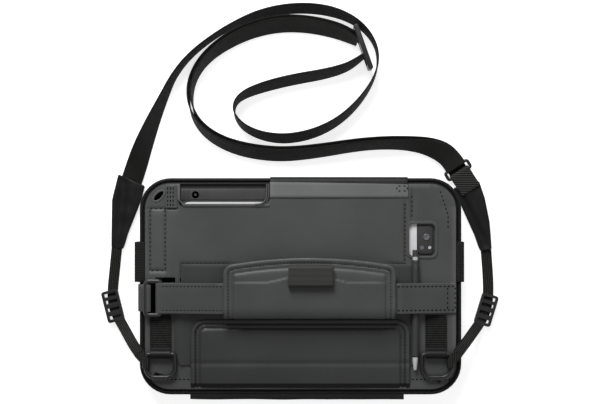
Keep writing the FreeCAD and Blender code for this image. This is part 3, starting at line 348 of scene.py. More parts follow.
def merged_copy(node):
    """The solid of a node with its loose triangles joined into whole faces."""
    bm = bmesh.new()
    bm.from_mesh(nodes[node].data)
    bmesh.ops.remove_doubles(bm, verts=bm.verts, dist=0.002 * mm)
    bmesh.ops.dissolve_limit(bm, angle_limit=math.radians(1.5), verts=bm.verts, edges=bm.edges)
    return bm


def soften(bm, width, angle=32, segments=3):
    """Rounds every edge sharper than the angle."""
    sharp = [edge for edge in bm.edges if len(edge.link_faces) == 2
             and edge.calc_face_angle() > math.radians(angle)]
    bmesh.ops.bevel(bm, geom=sharp, offset=width, offset_type="OFFSET", affect="EDGES", segments=segments,
                    profile=0.5, material=-1, clamp_overlap=True)
    return bm


buckle_black = plastic_finish("black_acetal", 0.012, 0.42)
# A near-black finish without sheen, for sheets that are painted shade inside holes and gaps.
deep_shadow = plastic_finish("painted_shade_black", 0.001, 0.9, 0.02 * mm, 0.0)
moulded = {}
for node in ("ladder_lock_left", "ladder_lock_right", "strap_slider"):
    moulded[node] = piece(node + "_moulding", soften(merged_copy(node), 0.6 * mm), buckle_black, "case",
                          [node])
for node in ("adapter_ring", "dring_left", "dring_right"):
    nodes[node].data.materials.clear()
    nodes[node].data.materials.append(buckle_black)
    nodes[node].data.shade_smooth()


def closed_tube(sections):
    """Skin over closed cross-sections that follow one another round a ring."""
    bm = bmesh.new()
    loops = [[bm.verts.new(point) for point in section] for section in sections]
    for one, two in zip(loops, loops[1:] + loops[:1]):
        for part in range(len(one)):
            after = (part + 1) % len(one)
            bm.faces.new((one[part], two[part], two[after], one[after]))
    bmesh.ops.recalc_face_normals(bm, faces=bm.faces)
    return bm


def block(bm, middle, size):
    """Adds a box to a mesh."""
    bmesh.ops.create_cube(bm, size=1, matrix=Matrix.Translation(middle) @ Matrix.Diagonal((*size, 1)))
    return bm


# The hand strap's ring is a flatter frame with a broad rounded face.
ring_low, ring_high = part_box("hand_ring")
ring_middle = (ring_low + ring_high) / 2
ring_reach = (ring_high - ring_low) / 2 + Vector((3.2 * mm, 0.6 * mm, 0))
bar_w = 2.2 * mm
bar_t = 1.5 * mm
bar_lift = 1.6 * mm
ring_r = 3.5 * mm
ring_sections = []
for turn in range(4):
    corner = Vector(((1 if turn in (0, 3) else -1) * (ring_reach.x - bar_w - ring_r),
                     (1 if turn < 2 else -1) * (ring_reach.y - bar_w - ring_r), 0))
    for step in range(7):
        angle = math.radians(90 * turn + 15 * step)
        outwards = Vector((math.cos(angle), math.sin(angle), 0))
        ring_sections.append([
            ring_middle + corner + outwards * ring_r + outwards * bar_w * math.cos(math.radians(30 * part))
            + Vector((0, 0, bar_lift + bar_t * math.sin(math.radians(30 * part)))) for part in range(12)])
ring_grey = plastic_finish("ring_acetal", 0.022, 0.38)
piece("hand_ring_moulding", closed_tube(ring_sections), ring_grey, "left_strap", ["hand_ring"])
# A black plate inside the ring, between its bars, is painted shade in the ring's opening.
piece("hand_ring_shadow",
      block(bmesh.new(), ring_middle + Vector((0, 0, 1.7 * mm)),
            (2 * ring_reach.x - 3.6 * bar_w, 2 * ring_reach.y - 3 * bar_w, 0.4 * mm)),
      deep_shadow, "left_strap")

# ------------------------------------------------------------------ shoulder strap: leather ends
# Each end of the strap is a folded piece of synthetic leather, sewn round the wide and the narrow webbing.
# A crease with a ridge beside it runs down its face, and its foot reaches over the narrow webbing.


def leather_finish(name, tone, roughness=0.5, shine=0.45, grain=0.9 * mm, depth=0.04 * mm):
    """Synthetic leather: pebbled grain, a slow drift of tone and sheen, and edges rubbed a little paler."""
    finish, add, wire = new_finish(name)
    surface = add("BsdfPrincipled", Specular_IOR_Level=shine)
    place = add("TexCoord")
    pebbles = add("TexVoronoi", Scale=1 / grain)
    pores = add("TexNoise", Scale=2.2 / grain, Detail=3)
    drift = add("TexNoise", Scale=14, Detail=3)
    colour = two_tones(add, (tone * 0.84, tone * 0.86, tone * 0.86), (tone * 1.1, tone * 1.14, tone * 1.13))
    colour.color_ramp.elements[0].position = 0.3
    colour.color_ramp.elements[1].position = 0.7
    gloss = add("MapRange", To_Min=roughness - 0.08, To_Max=roughness + 0.08)
    worn = add("NewGeometry")
    wear = add("MapRange", From_Min=0.5, From_Max=0.6, To_Max=0.55)
    rubbed = add("Mix")
    rubbed.data_type = "RGBA"
    rubbed.inputs["B"].default_value = (tone * 2.2, tone * 2.2, tone * 2.2, 1)
    height = add("Math")
    height.operation = "MULTIPLY_ADD"
    height.inputs[1].default_value = 0.5
    for texture in (pebbles, pores, drift):
        wire(place.outputs["Object"], texture.inputs["Vector"])
    wire(drift.outputs["Fac"], colour.inputs["Fac"])
    wire(drift.outputs["Fac"], gloss.inputs["Value"])
    wire(worn.outputs["Pointiness"], wear.inputs["Value"])
    wire(wear.outputs["Result"], rubbed.inputs["Factor"])
    wire(colour.outputs["Color"], rubbed.inputs["A"])
    wire(pores.outputs["Fac"], height.inputs[0])
    wire(pebbles.outputs["Distance"], height.inputs[2])
    dress_surface(add, wire, surface, rubbed.outputs["Result"], gloss.outputs["Result"], height.outputs[0],
                  depth, 0.8)
    return finish


def cut_grid(bm, step, extra_x=(), extra_y=()):
    """Cuts every face along a grid, fine enough to sag and dip, with extra cuts where a seam runs."""
    for axis, extra in ((0, extra_x), (1, extra_y)):
        spread = [vert.co[axis] for vert in bm.verts]
        count = max(1, round((max(spread) - min(spread)) / step))
        cuts = [min(spread) + (max(spread) - min(spread)) * index / count for index in range(1, count)]
        for cut in sorted(cuts + list(extra)):
            place = Vector((0, 0, 0))
            place[axis] = cut
            normal = Vector((0, 0, 0))
            normal[axis] = 1
            bmesh.ops.bisect_plane(bm, geom=bm.verts[:] + bm.edges[:] + bm.faces[:], dist=0.01 * mm,
                                   plane_co=place, plane_no=normal)
    return bm


def cover(node, rounding, step, extra_x=(), extra_y=()):
    """Softened copy of a node's solid, cut finely enough to be worked over."""
    return cut_grid(soften(merged_copy(node), rounding), step, extra_x, extra_y)


def seam_distance(point, seam):
    """Distance on plan from a point to a line of (x, y) places."""
    nearest = 1.0
    for one, two in zip(seam, seam[1:]):
        run = Vector(two) - Vector(one)
        share = max(0.0, min(1.0, (Vector(point[:2]) - Vector(one)).dot(run) / run.length_squared))
        nearest = min(nearest, (Vector(point[:2]) - Vector(one) - run * share).length)
    return nearest


def pull_seams(bm, seams, depth, reach):
    """Draws the upper side down along its seams, as tight thread does."""
    bm.normal_update()
    for vert in bm.verts:
        if vert.normal.z > 0.3:
            nearest = min(seam_distance(vert.co, seam) for seam in seams)
            vert.co.z -= depth * math.exp(-(nearest / reach) ** 2)
    return bm


def uneven(bm, height, size):
    """Slow unevenness of the upper side."""
    bm.normal_update()
    for vert in bm.verts:
        if vert.normal.z > 0.3:
            vert.co.z += height * noise.noise(vert.co / size)
    return bm


def stitch_rows(name, on, rows, body, pitch=4.0 * mm, length=2.5 * mm, thick=1.25 * mm):
    """Rows of thread stitches lying on a piece, along (x, y) lines."""
    mesh = on.data
    surface = BVHTree.FromPolygons([vert.co for vert in mesh.vertices],
                                   [list(face.vertices) for face in mesh.polygons])
    bm = bmesh.new()
    for row in rows:
        for one, two in zip(row, row[1:]):
            start = Vector(one)
            run = Vector(two) - start
            count = max(1, round(run.length / pitch))
            for index in range(count):
                spot = start + run * ((index + 0.5) / count)
                ground, facing, _, _ = surface.ray_cast(Vector((spot.x, spot.y, 0.2)), Vector((0, 0, -1)))
                if ground is None:
                    continue
                turn = Matrix.Rotation(math.atan2(run.y, run.x), 4, "Z")
                lean = Vector((0, 0, 1)).rotation_difference(facing).to_matrix().to_4x4()
                bmesh.ops.create_icosphere(
                    bm, subdivisions=1, radius=1,
                    matrix=Matrix.Translation(ground) @ lean @ turn @ Matrix.Diagonal(
                        (length / 2, thick / 2, thick * 0.45, 1)))
    return piece(name, bm, thread_black, body, sharp=180)


leather_grey = leather_finish("grey_leather", 0.06)
leather_deep = leather_finish("deep_leather", 0.034)
# Dark leather; also used as painted shade on the bottom flap's foot.
leather_dark_and_shade = leather_finish("dark_leather_and_shade", 0.007, roughness=0.5, shine=0.25)
thread_black = plastic_finish("thread", 0.004, 0.8, 0.02 * mm, 0.1)
crease_w = 4 * mm
ridge_off = 8 * mm
foot_reach = 2.6 * mm
foot_fade = 7 * mm
for side, crease in (("left", [(-0.1660, 0.0990), (-0.1725, 0.0420)]),
                     ("right", [(0.1500, 0.0860), (0.1725, 0.0430)])):
    node = "leather_end_" + side
    bm = cover(node, 1.6 * mm, 2.5 * mm)
    bm.normal_update()
    for vert in bm.verts:
        if vert.normal.z > 0.3:
            away = seam_distance(vert.co, crease)
            vert.co.z -= 1.6 * mm * math.exp(-(away / crease_w) ** 2)
            vert.co.z += 0.7 * mm * math.exp(-((away - ridge_off) / crease_w) ** 2)
    uneven(bm, 0.9 * mm, 11 * mm)
    foot_top = min(vert.co.y for vert in bm.verts) + 5 * mm + foot_fade
    for vert in bm.verts:
        vert.co.y -= foot_reach * max(0.0, min(1.0, (foot_top - vert.co.y) / foot_fade))
    moulded[node] = piece(node + "_cover", bm, leather_dark_and_shade, "case", [node])

for name, hardware in (("main_strap", [moulded["strap_slider"], moulded["leather_end_left"]]),
                       ("doubled_strap_outer", [moulded["leather_end_right"], nodes["adapter_ring"]]),
                       ("doubled_strap_inner", []),
                       ("narrow_strap_left", [moulded["ladder_lock_left"]]),
                       ("narrow_strap_right", [moulded["ladder_lock_right"]])):
    strap, path, length, width = laid_straps[name]

# ------------------------------------------------------------------ tablet
# A rugged tablet lies screen-down in the case: black-edged glass in a grey moulded bezel with rubber keys, a
# satin silver back cover, and a dark camera island with its lens, flash and light sensor.
housing_grey = plastic_finish("housing_plastic", 0.05, 0.45)
key_rubber = plastic_finish("key_rubber", 0.03, 0.62)
screw_dark = plastic_finish("screw_black", 0.012, 0.35)
silver_satin = plastic_finish("silver_cover", 0.72, 0.38, 0.01 * mm)
board_green = plastic_finish("circuit_board", 0.05, 0.5)
battery_grey = plastic_finish("battery_wrap", 0.15, 0.5)
panel_black = plastic_finish("display_black", 0.008, 0.15, 0.0)


def glass_finish(name, tone, roughness):
    """Coated glass over black: a deep mirror-like surface."""
    finish, add, wire = new_finish(name)
    surface = add("BsdfPrincipled", Coat_Weight=1.0, Coat_Roughness=0.03)
    place = add("TexCoord")
    smear = add("TexNoise", Scale=18)
    gloss = add("MapRange", To_Min=roughness, To_Max=roughness + 0.08)
    colour = two_tones(add, (tone, tone, tone * 1.1), (tone * 1.4, tone * 1.4, tone * 1.6))
    wire(place.outputs["Object"], smear.inputs["Vector"])
    wire(smear.outputs["Fac"], gloss.inputs["Value"])
    wire(smear.outputs["Fac"], colour.inputs["Fac"])
    dress_surface(add, wire, surface, colour.outputs["Color"], gloss.outputs["Result"])
    return finish


screen_glass = glass_finish("screen_glass", 0.006, 0.06)
lens_glass = glass_finish("lens_glass", 0.09, 0.12)
flash_glass = glass_finish("flash_glass", 0.42, 0.3)
for node, finish in (("front_glass", screen_glass), ("display_panel", panel_black), ("back_shell", housing_grey),
                     ("battery_pack", battery_grey), ("main_board", board_green),
                     ("key_switch_board", board_green), ("rear_cover", silver_satin),
                     ("rear_cover_screws", screw_dark), ("light_sensor", lens_glass)):
    nodes[node].data.materials.clear()
    nodes[node].data.materials.append(finish)
for node, finish, slot, width in (("front_bezel", housing_grey, "housing_plastic", 0.5 * mm),
                                  ("camera_island", key_rubber, "housing_plastic", 0.6 * mm),
                                  ("camera_lens", lens_glass, "lens_glass", 0.25 * mm),
                                  ("flash_window", flash_glass, "lens_glass", 0.1 * mm),
                                  ("frame_screw", screw_dark, "rubber", 0.3 * mm)):
    piece(node + "_shell", soften(merged_copy(node), width), finish, "case", [node])
for node, body in (("power_key", "key_power"), ("volume_up_key", "key_volume_up"),
                   ("volume_down_key", "key_volume_down"), ("function_key_a", "key_function_a"),
                   ("function_key_b", "key_function_b")):
    piece(node + "_cap", soften(merged_copy(node), 0.35 * mm), key_rubber, body, [node])

# The dark bar of the tablet's moulded frame shows in the top slot, with a ribbed finger grip at its left end.
slot_low, slot_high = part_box("ribbed_grip")
bar_left = slot_low.x - 0.4 * mm
bar_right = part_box("top_flap_panel")[0].x + 2 * mm
bar_low = slot_low.y + 0.2 * mm
bar_high = bar_low + 10.2 * mm
bar_deep = 0.9 * mm
bm = block(bmesh.new(), ((bar_left + bar_right) / 2, (bar_low + bar_high) / 2, slot_low.z + bar_deep / 2),
           (bar_right - bar_left, bar_high - bar_low, bar_deep))
piece("frame_bar", soften(bm, 0.4 * mm), housing_grey, "case")
bm = bmesh.new()
rib_count = 7
rib_step = (slot_high.x - slot_low.x) / rib_count
for index in range(rib_count):
    block(bm, (slot_low.x + rib_step * (index + 0.5), (slot_low.y + slot_high.y) / 2,
               (slot_low.z + slot_high.z) / 2 + 0.3 * mm),
          (rib_step * 0.55, slot_high.y - slot_low.y, 1.4 * mm))
piece("grip_ribs", soften(bm, 0.15 * mm, segments=2), housing_grey, "case", ["ribbed_grip"])

screw_low, screw_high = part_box("frame_screw")
screw_middle = (screw_low + screw_high) / 2
bm = bmesh.new()
bmesh.ops.create_cone(bm, cap_ends=True, segments=24, radius1=1.35 * mm, radius2=1.1 * mm, depth=0.5 * mm,
                      matrix=Matrix.Translation((screw_middle.x, screw_middle.y, screw_high.z + 0.1 * mm)))
piece("frame_screw_socket", bm, housing_grey, "case")

# ------------------------------------------------------------------ case: rim and front frame
# The rim is a leather-covered wall round the tablet with a piped seam above and below. A second, thinner
# piping closes the gap to the rear panel. The front frame is the flat leather border round the screen.
rim_low, rim_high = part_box("rim_piping")
panel_low, panel_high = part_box("rear_panel")
case_r = 28 * mm
case_middle = (rim_low + rim_high) / 2


def ring(profile):
    """Profile of (distance out from the case's outline, height) points, run round the case's outline."""
    reach_x = (rim_high.x - rim_low.x) / 2
    reach_y = (rim_high.y - rim_low.y) / 2
    bm = bmesh.new()
    front = [bm.verts.new((reach_x + out, case_r - reach_y, z)) for out, z in profile]
    moving = front + [bm.edges.new((one, two)) for one, two in zip(front, front[1:] + front[:1])]
    runs = [(Vector((0, 2 * (reach_y - case_r), 0)), Vector((reach_x - case_r, reach_y - case_r, 0))),
            (Vector((-2 * (reach_x - case_r), 0, 0)), Vector((case_r - reach_x, reach_y - case_r, 0))),
            (Vector((0, -2 * (reach_y - case_r), 0)), Vector((case_r - reach_x, case_r - reach_y, 0))),
            (Vector((2 * (reach_x - case_r), 0, 0)), Vector((reach_x - case_r, case_r - reach_y, 0)))]
    for run, corner in runs:
        grown = bmesh.ops.extrude_edge_only(bm, edges=[part for part in moving
                                                       if isinstance(part, bmesh.types.BMEdge)])["geom"]
        moving = [part for part in grown if not isinstance(part, bmesh.types.BMFace)]
        bmesh.ops.translate(bm, vec=run, verts=[part for part in moving if isinstance(part, bmesh.types.BMVert)])
        moving = bmesh.ops.spin(bm, geom=moving, cent=corner, axis=(0, 0, 1), dvec=(0, 0, 0),
                                angle=math.pi / 2, steps=10, use_merge=False)["geom_last"]
    bmesh.ops.remove_doubles(bm, verts=bm.verts, dist=0.01 * mm)
    bmesh.ops.recalc_face_normals(bm, faces=bm.faces)
    bmesh.ops.translate(bm, vec=(case_middle.x, case_middle.y, 0), verts=bm.verts)
    return bm


def bead(out, z, radius, start, end):
    """Arc of a piping bead in a ring's profile, angles in degrees from outwards."""
    angles = [math.radians(start + (end - start) * step / 6) for step in range(7)]
    return [(out + radius * math.cos(angle), z + radius * math.sin(angle)) for angle in angles]


rim_bottom = rim_low.z
rim_top = rim_high.z
wall = 5.75 * mm
profile = ([(-wall, rim_bottom)] + bead(-1.6 * mm, rim_bottom + 1.6 * mm, 1.6 * mm, -90, 60)
           + [(-1.1 * mm, rim_bottom + 4.0 * mm), (-0.7 * mm, (rim_bottom + rim_top) / 2),
              (-0.9 * mm, rim_top - 5 * mm), (0.2 * mm, rim_top - 4.2 * mm)]
           + bead(-0.9 * mm, rim_top - 1.8 * mm, 1.8 * mm, -50, 140)
           + [(-3.1 * mm, rim_top - 1.2 * mm)] + bead(-4.6 * mm, rim_top + 0.1 * mm, 1.4 * mm, 10, 170)
           + [(-6.2 * mm, rim_top - 0.6 * mm), (-5.8 * mm, rim_top - 1.0 * mm)])
rim_black = leather_finish("rim_leather", 0.006, roughness=0.55, shine=0.2)
piece("case_rim", ring(profile), rim_black, "case", ["side_rim", "rim_piping"])
bm = cover("front_frame", 0.6 * mm, 8 * mm)
piece("front_border", bm, leather_grey, "case", ["front_frame"])

# ------------------------------------------------------------------ case: rear panel
# Synthetic leather over thin board, sewn to the rim. Rows of dark thread hold the lining, the pocket and
# the stiffener strip at its left side; thread pulls the leather down a little along each row.
left = panel_low.x
right = panel_high.x
top = panel_high.y
bottom = panel_low.y
pocket_low, pocket_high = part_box("rear_pocket")
strip_columns = (left + 4.5 * mm, left + 18.5 * mm)
strip_top = top - 23.4 * mm
strip_foot = bottom + 110 * mm
lining_left = left + 33.4 * mm
lining_y = bottom + 116.4 * mm
pocket_column = left + 241.7 * mm
window_column = left + 248.2 * mm
corner_column = left + 281.7 * mm
hem_y = bottom + 9 * mm
rows = [
    [(strip_columns[0], strip_top), (strip_columns[0], strip_foot)],
    [(strip_columns[1], strip_top), (strip_columns[1], strip_foot)],
    [(strip_columns[0], strip_foot), (strip_columns[1], strip_foot)],
    [(left + 3.6 * mm, strip_top), (left + 29 * mm, strip_top)],
    [(pocket_column, top - 17.5 * mm), (pocket_column, pocket_high.y - 17.6 * mm)],
    [(window_column, top - 10 * mm), (window_column, top - 31.7 * mm)],
    [(left + 274.2 * mm, top - 5.8 * mm), (corner_column, top - 29 * mm), (corner_column, top - 42 * mm)],
    [(lining_left, lining_y), (left + 78.9 * mm, lining_y)],
    [(left + 228.7 * mm, lining_y), (pocket_column, lining_y)],
    [(lining_left, lining_y), (lining_left, bottom + 98.7 * mm)],
    [(left + 3 * mm, hem_y), (left + 42 * mm, hem_y)],
    [(right - 42 * mm, hem_y), (right - 4 * mm, hem_y)]]
fine_cuts = [-1.6 * mm, -0.8 * mm, 0.0, 0.8 * mm, 1.6 * mm]
bm = cover("rear_panel", 0.7 * mm, 5 * mm,
              [x + off for x in (*strip_columns, pocket_column, window_column, lining_left) for off in fine_cuts],
              [y + off for y in (strip_foot, lining_y, strip_top) for off in fine_cuts])
uneven(bm, 0.35 * mm, 45 * mm)
pull_seams(bm, rows, 1.0 * mm, 1.3 * mm)
rear = piece("rear_leather", bm, leather_grey, "case", ["rear_panel"])
stitch_rows("rear_stitches", rear, rows, "case")

# ------------------------------------------------------------------ case: openings, pocket and edge bands
# Narrow bindings finish the two openings, a sewn strip stands beside the top slot, and a flat pocket with a
# stylus in its sleeve is sewn beside the window. Webbing bands grip the rim and a leather band closes its foot.


def rounded(corners, steps=6):
    """Line through (x, y, radius) corners, curved at each one that has a radius."""
    line = []
    for index, (x, y, radius) in enumerate(corners):
        here = Vector((x, y))
        if not radius or index in (0, len(corners) - 1):
            line.append(here)
            continue
        back = (Vector(corners[index - 1][:2]) - here).normalized()
        ahead = (Vector(corners[index + 1][:2]) - here).normalized()
        reach = radius / math.tan(back.angle(ahead) / 2)
        for step in range(steps + 1):
            share = step / steps
            line.append((here + back * reach) * (1 - share) ** 2 + here * 2 * share * (1 - share)
                        + (here + ahead * reach) * share ** 2)
    return line


piece("opening_bindings", soften(merged_copy("edge_bindings"), 0.35 * mm), leather_grey, "case",
      ["edge_bindings"])
bm = cover("rear_pocket", 0.45 * mm, 3 * mm)
puff = Vector((pocket_low.x + 24 * mm, (pocket_low.y + pocket_high.y) / 2, 0))
puff_w = 26 * mm
puff_h = pocket_high.y - puff.y
hem_x = pocket_low.x + 5 * mm
bm.normal_update()
for vert in bm.verts:
    if vert.normal.z > 0.3:
        swell = (max(0.0, 1 - ((vert.co.x - puff.x) / puff_w) ** 2)
                 * max(0.0, 1 - ((vert.co.y - puff.y) / puff_h) ** 2))
        vert.co.z += 1.3 * mm * swell + 1.2 * mm * math.exp(-((vert.co.x - hem_x) / (5 * mm)) ** 2)
piece("flat_pocket", bm, leather_deep, "case", ["rear_pocket"])

# The stylus has a dark barrel with a white ring under its cap and a white lower end.
stylus_low, stylus_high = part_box("stylus")
cap_y = stylus_high.y - 6.5 * mm
ring_y = cap_y - 3 * mm
white_end = stylus_low.y + 12 * mm
bm = cover("stylus", 0.4 * mm, 20 * mm, (), [ring_y, cap_y, white_end])
stylus = piece("stylus_barrel", bm, housing_grey, "stylus", ["stylus"])
second_finish(stylus, plastic_finish("stylus_white", 0.55, 0.3, 0.005 * mm),
              lambda middle: ring_y < middle.y < cap_y or middle.y < white_end)

# The slot's binding turns up at its right end, along the top flap.
slot_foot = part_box("ribbed_grip")[0].y - 5.0 * mm
flap_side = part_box("top_flap_panel")[0].x
turn_up = [(14, 0), (10.5, 0.1), (7, 0.9), (4.2, 3.2), (2.6, 6.4), (2.2, 10), (2.1, 15), (2.1, 20)]
turn_route = [(flap_side - in_left * mm, slot_foot + up * mm, panel_high.z + 0.7 * mm, 0)
              for in_left, up in turn_up]
band, path, _ = ribbon("slot_binding", turn_route, 3.2 * mm, 1.1 * mm)
slot_binding = piece("slot_binding_turn", band, leather_grey, "case")
stitch_rows("slot_binding_stitches", slot_binding, [[(point.x, point.y) for point in path]], "case",
            3.0 * mm, 1.8 * mm, 0.7 * mm)

# The slanted hole at the upper left has a raised rim; a black sheet inside it is painted shade.
hole = Vector((left + 12.6 * mm, top - 11.3 * mm, panel_high.z))
slant = Matrix.Translation(hole) @ Matrix.Rotation(math.radians(44), 4, "Z")
rim_x = 6.6 * mm
rim_y = 3.3 * mm
rim_inside = 0.6 * mm
bm = bmesh.new()
bmesh.ops.create_cone(bm, cap_ends=True, segments=32, radius1=1, radius2=1, depth=0.3 * mm,
                      matrix=slant @ Matrix.Diagonal((rim_x - rim_inside, rim_y - rim_inside, 1, 1)))
piece("slanted_hole_painted_shade", bm, deep_shadow, "case")
rim_r = Vector((1.1 * mm, 0.8 * mm))
hole_sections = []
for turn in range(40):
    angle = 2 * math.pi * turn / 40
    centre = Vector((rim_x * math.cos(angle), rim_y * math.sin(angle), 0))
    outwards = Vector((math.cos(angle) * rim_y, math.sin(angle) * rim_x, 0)).normalized()
    hole_sections.append([slant @ (centre + outwards * rim_r.x * math.cos(math.radians(45 * part))
                                   + Vector((0, 0, rim_r.y * math.sin(math.radians(45 * part)))))
                          for part in range(8)])
piece("slanted_hole_rim", closed_tube(hole_sections), leather_grey, "case")

# A black sheet inside the port slit is painted shade.
piece("port_slit_painted_shade",
      block(bmesh.new(), (left + 24.4 * mm, bottom + 101.4 * mm, panel_high.z - 0.6 * mm),
            (17.6 * mm, 3.6 * mm, 0.5 * mm)), deep_shadow, "case")

strip_low, strip_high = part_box("ribbed_strip")
bm = cover("ribbed_strip", 0.6 * mm, 1.2 * mm)
columns = [strip_low.x + (strip_high.x - strip_low.x) * share for share in (0.16, 0.4, 0.64, 0.88)]
strip_rows = [[(x, strip_low.y + 1 * mm), (x, strip_high.y - 1 * mm)] for x in columns]
pull_seams(bm, strip_rows, 0.5 * mm, 0.7 * mm)
strip = piece("stitched_strip", bm, leather_grey, "case", ["ribbed_strip"])
stitch_rows("strip_stitches", strip, strip_rows[:3], "case")

for side in ("left", "right"):
    band = "side_band_" + side
    bm = cover(band, 0.5 * mm, 3 * mm)
    piece(band + "_webbing", bm, webbing_finish(band + "_weave", 0.008, 1.5 * mm, 0.12 * mm, "Y"), "case",
          [band])
bm = cover("bottom_band", 0.7 * mm, 4 * mm)
for vert in bm.verts:
    vert.co.y += 0.5 * mm * noise.noise(Vector((vert.co.x / (30 * mm), vert.co.z / (15 * mm), 3)))
piece("bottom_leather_band", bm, leather_dark_and_shade, "case", ["bottom_band"])

# ------------------------------------------------------------------ case: top flap
# One strip of leather in a paler tone, partly a painted highlight for the light it catches from the lamp
# beyond the top edge. It folds out of the rear panel, runs to the top edge and turns down over it.
flap_low, flap_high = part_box("top_flap_panel")
band_low, band_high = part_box("top_flap_band")
leather_pale_and_lit = leather_finish("pale_and_lit_leather", 0.125, roughness=0.42)


def swept(outline, run):
    """Solid from a flat outline of points, swept along a straight run."""
    bm = bmesh.new()
    face = bm.faces.new([bm.verts.new(point) for point in outline])
    grown = bmesh.ops.extrude_face_region(bm, geom=[face], use_keep_orig=True)["geom"]
    bmesh.ops.translate(bm, vec=run, verts=[part for part in grown if isinstance(part, bmesh.types.BMVert)])
    bmesh.ops.recalc_face_normals(bm, faces=bm.faces)
    return bm


crease = flap_low.y
edge = band_high.y
over = [(crease, flap_high.z + 0.4 * mm), (crease + 0.9 * mm, flap_high.z + 1.3 * mm),
        (crease + 2.5 * mm, flap_high.z + 1.6 * mm), (edge - 7 * mm, flap_high.z + 0.6 * mm),
        (edge - 3 * mm, flap_high.z - 0.3 * mm), (edge - 1.2 * mm, flap_high.z - 1.4 * mm),
        (edge - 0.2 * mm, flap_high.z - 3.2 * mm), (edge, flap_high.z - 5 * mm), (edge, band_low.z + 0.5 * mm),
        (edge - 0.4 * mm, band_low.z)]
under = [(band_low.y + 0.3 * mm, band_low.z), (band_low.y, band_low.z + 0.5 * mm),
         (band_low.y, flap_high.z - 4 * mm), (band_low.y - 0.6 * mm, flap_high.z - 2.4 * mm),
         (band_low.y - 2 * mm, flap_low.z + 0.1 * mm), (crease, flap_low.z + 0.1 * mm)]
bm = cut_grid(swept([(flap_low.x, y, z) for y, z in over + under], (flap_high.x - flap_low.x, 0, 0)), 4 * mm)
turn_left = Vector((flap_low.x, edge - 4.6 * mm, 0))
turn_across = Vector((2.2 * mm, flap_high.x - flap_low.x, 0)).normalized()
bmesh.ops.bisect_plane(bm, geom=bm.verts[:] + bm.edges[:] + bm.faces[:], dist=0.01 * mm, plane_co=turn_left,
                       plane_no=turn_across)
uneven(bm, 0.5 * mm, 30 * mm)
top_flap = piece("top_flap_leather", soften(bm, 0.5 * mm, angle=60), leather_pale_and_lit, "top_flap",
                 ["top_flap_panel", "top_flap_band"])
second_finish(top_flap, leather_dark_and_shade, lambda middle: (middle - turn_left).dot(turn_across) > 0)
tack_left = flap_high.x - 10.5 * mm
tack_right = flap_high.x - 0.9 * mm
tack_low = crease + 6.5 * mm
tack_high = tack_low + 4.6 * mm
stitch_rows("top_flap_stitches", top_flap,
            [[(tack_left, tack_low), (tack_right, tack_low), (tack_right, tack_high), (tack_left, tack_high),
              (tack_left, tack_low)]], "top_flap")

# ------------------------------------------------------------------ case: bottom flap
# A lid of bound leather with a crease across it. A binding 4.5 mm wide runs up both sides and along its top
# edge, sewn with one row; inside the binding the lid is lightly padded.


def bound_lid(bm, line, top, swell=0.9 * mm):
    """Shapes the upper side of a lid inwards from its edge line: a rolled edge, a stitched groove, a flat
    band, a second groove and a padded middle."""
    bm.normal_update()
    for vert in bm.verts:
        if vert.normal.z > 0.25 and vert.co.z > top - 1.2 * mm:
            away = seam_distance(vert.co, line)
            vert.co.z -= 1.0 * mm * math.exp(-((away - roll_w) / (0.8 * mm)) ** 2)
            vert.co.z -= 0.8 * mm * math.exp(-((away - band_w) / (0.9 * mm)) ** 2)
            if away < roll_w:
                vert.co.z += 0.5 * mm * math.sin(math.pi * away / roll_w)
            if away > band_w:
                vert.co.z += swell * (1 - math.exp((band_w - away) / (4 * mm)))
    return bm


upper_low, upper_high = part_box("bottom_flap_upper")
lower_low, lower_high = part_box("bottom_flap_lower")
crease_y = (upper_low.y + lower_high.y) / 2
lid_r = 16 * mm
roll_w = 4.4 * mm
band_w = 8.4 * mm


def lid_line(inset):
    """Line up the lid's sides and along its upper edge, drawn in from its outline."""
    return rounded([(upper_low.x + inset, lower_low.y, 0),
                    (upper_low.x + inset, upper_high.y - inset, lid_r - inset),
                    (upper_high.x - inset, upper_high.y - inset, lid_r - inset),
                    (upper_high.x - inset, lower_low.y, 0)], 10)


bm = swept([(point.x, point.y, upper_low.z) for point in lid_line(0)], (0, 0, upper_high.z - upper_low.z))
cut_grid(soften(bm, 0.8 * mm, angle=60), 1.2 * mm)
bound_lid(bm, lid_line(0), upper_high.z)
fold = [(upper_low.x, crease_y), (upper_high.x, crease_y)]
pull_seams(bm, [fold], 0.8 * mm, 2.2 * mm)
uneven(bm, 0.5 * mm, 35 * mm)
foot_drop = 2.6 * mm
foot_turn = 6 * mm
for vert in bm.verts:
    if vert.co.y < crease_y:
        vert.co.z -= foot_drop * ((crease_y - vert.co.y) / (crease_y - lower_low.y)) ** 1.5
    turned = lower_low.y + foot_turn - vert.co.y
    if turned > 0 and vert.co.z > upper_low.z - foot_drop + 1.2 * mm:
        vert.co.z -= 1.7 * mm * (turned / foot_turn) ** 2
bending = ("flap_lower", "flap_upper", Vector((0, crease_y - 3 * mm, upper_high.z)),
           Vector((0, crease_y + 3 * mm, upper_high.z)))
bottom_flap = piece("bottom_flap_leather", bm, leather_deep, bending,
                    ["bottom_flap_upper", "bottom_flap_lower"])
# The last 4.2 mm of the foot, which turns down away from the lamp, get the dark finish: painted shade.
second_finish(bottom_flap, leather_dark_and_shade, lambda middle: middle.y < lower_low.y + 4.2 * mm)
stitch_rows("bottom_flap_stitches", bottom_flap, [lid_line(roll_w)], bending, 3.2 * mm, 2 * mm,
            0.8 * mm)

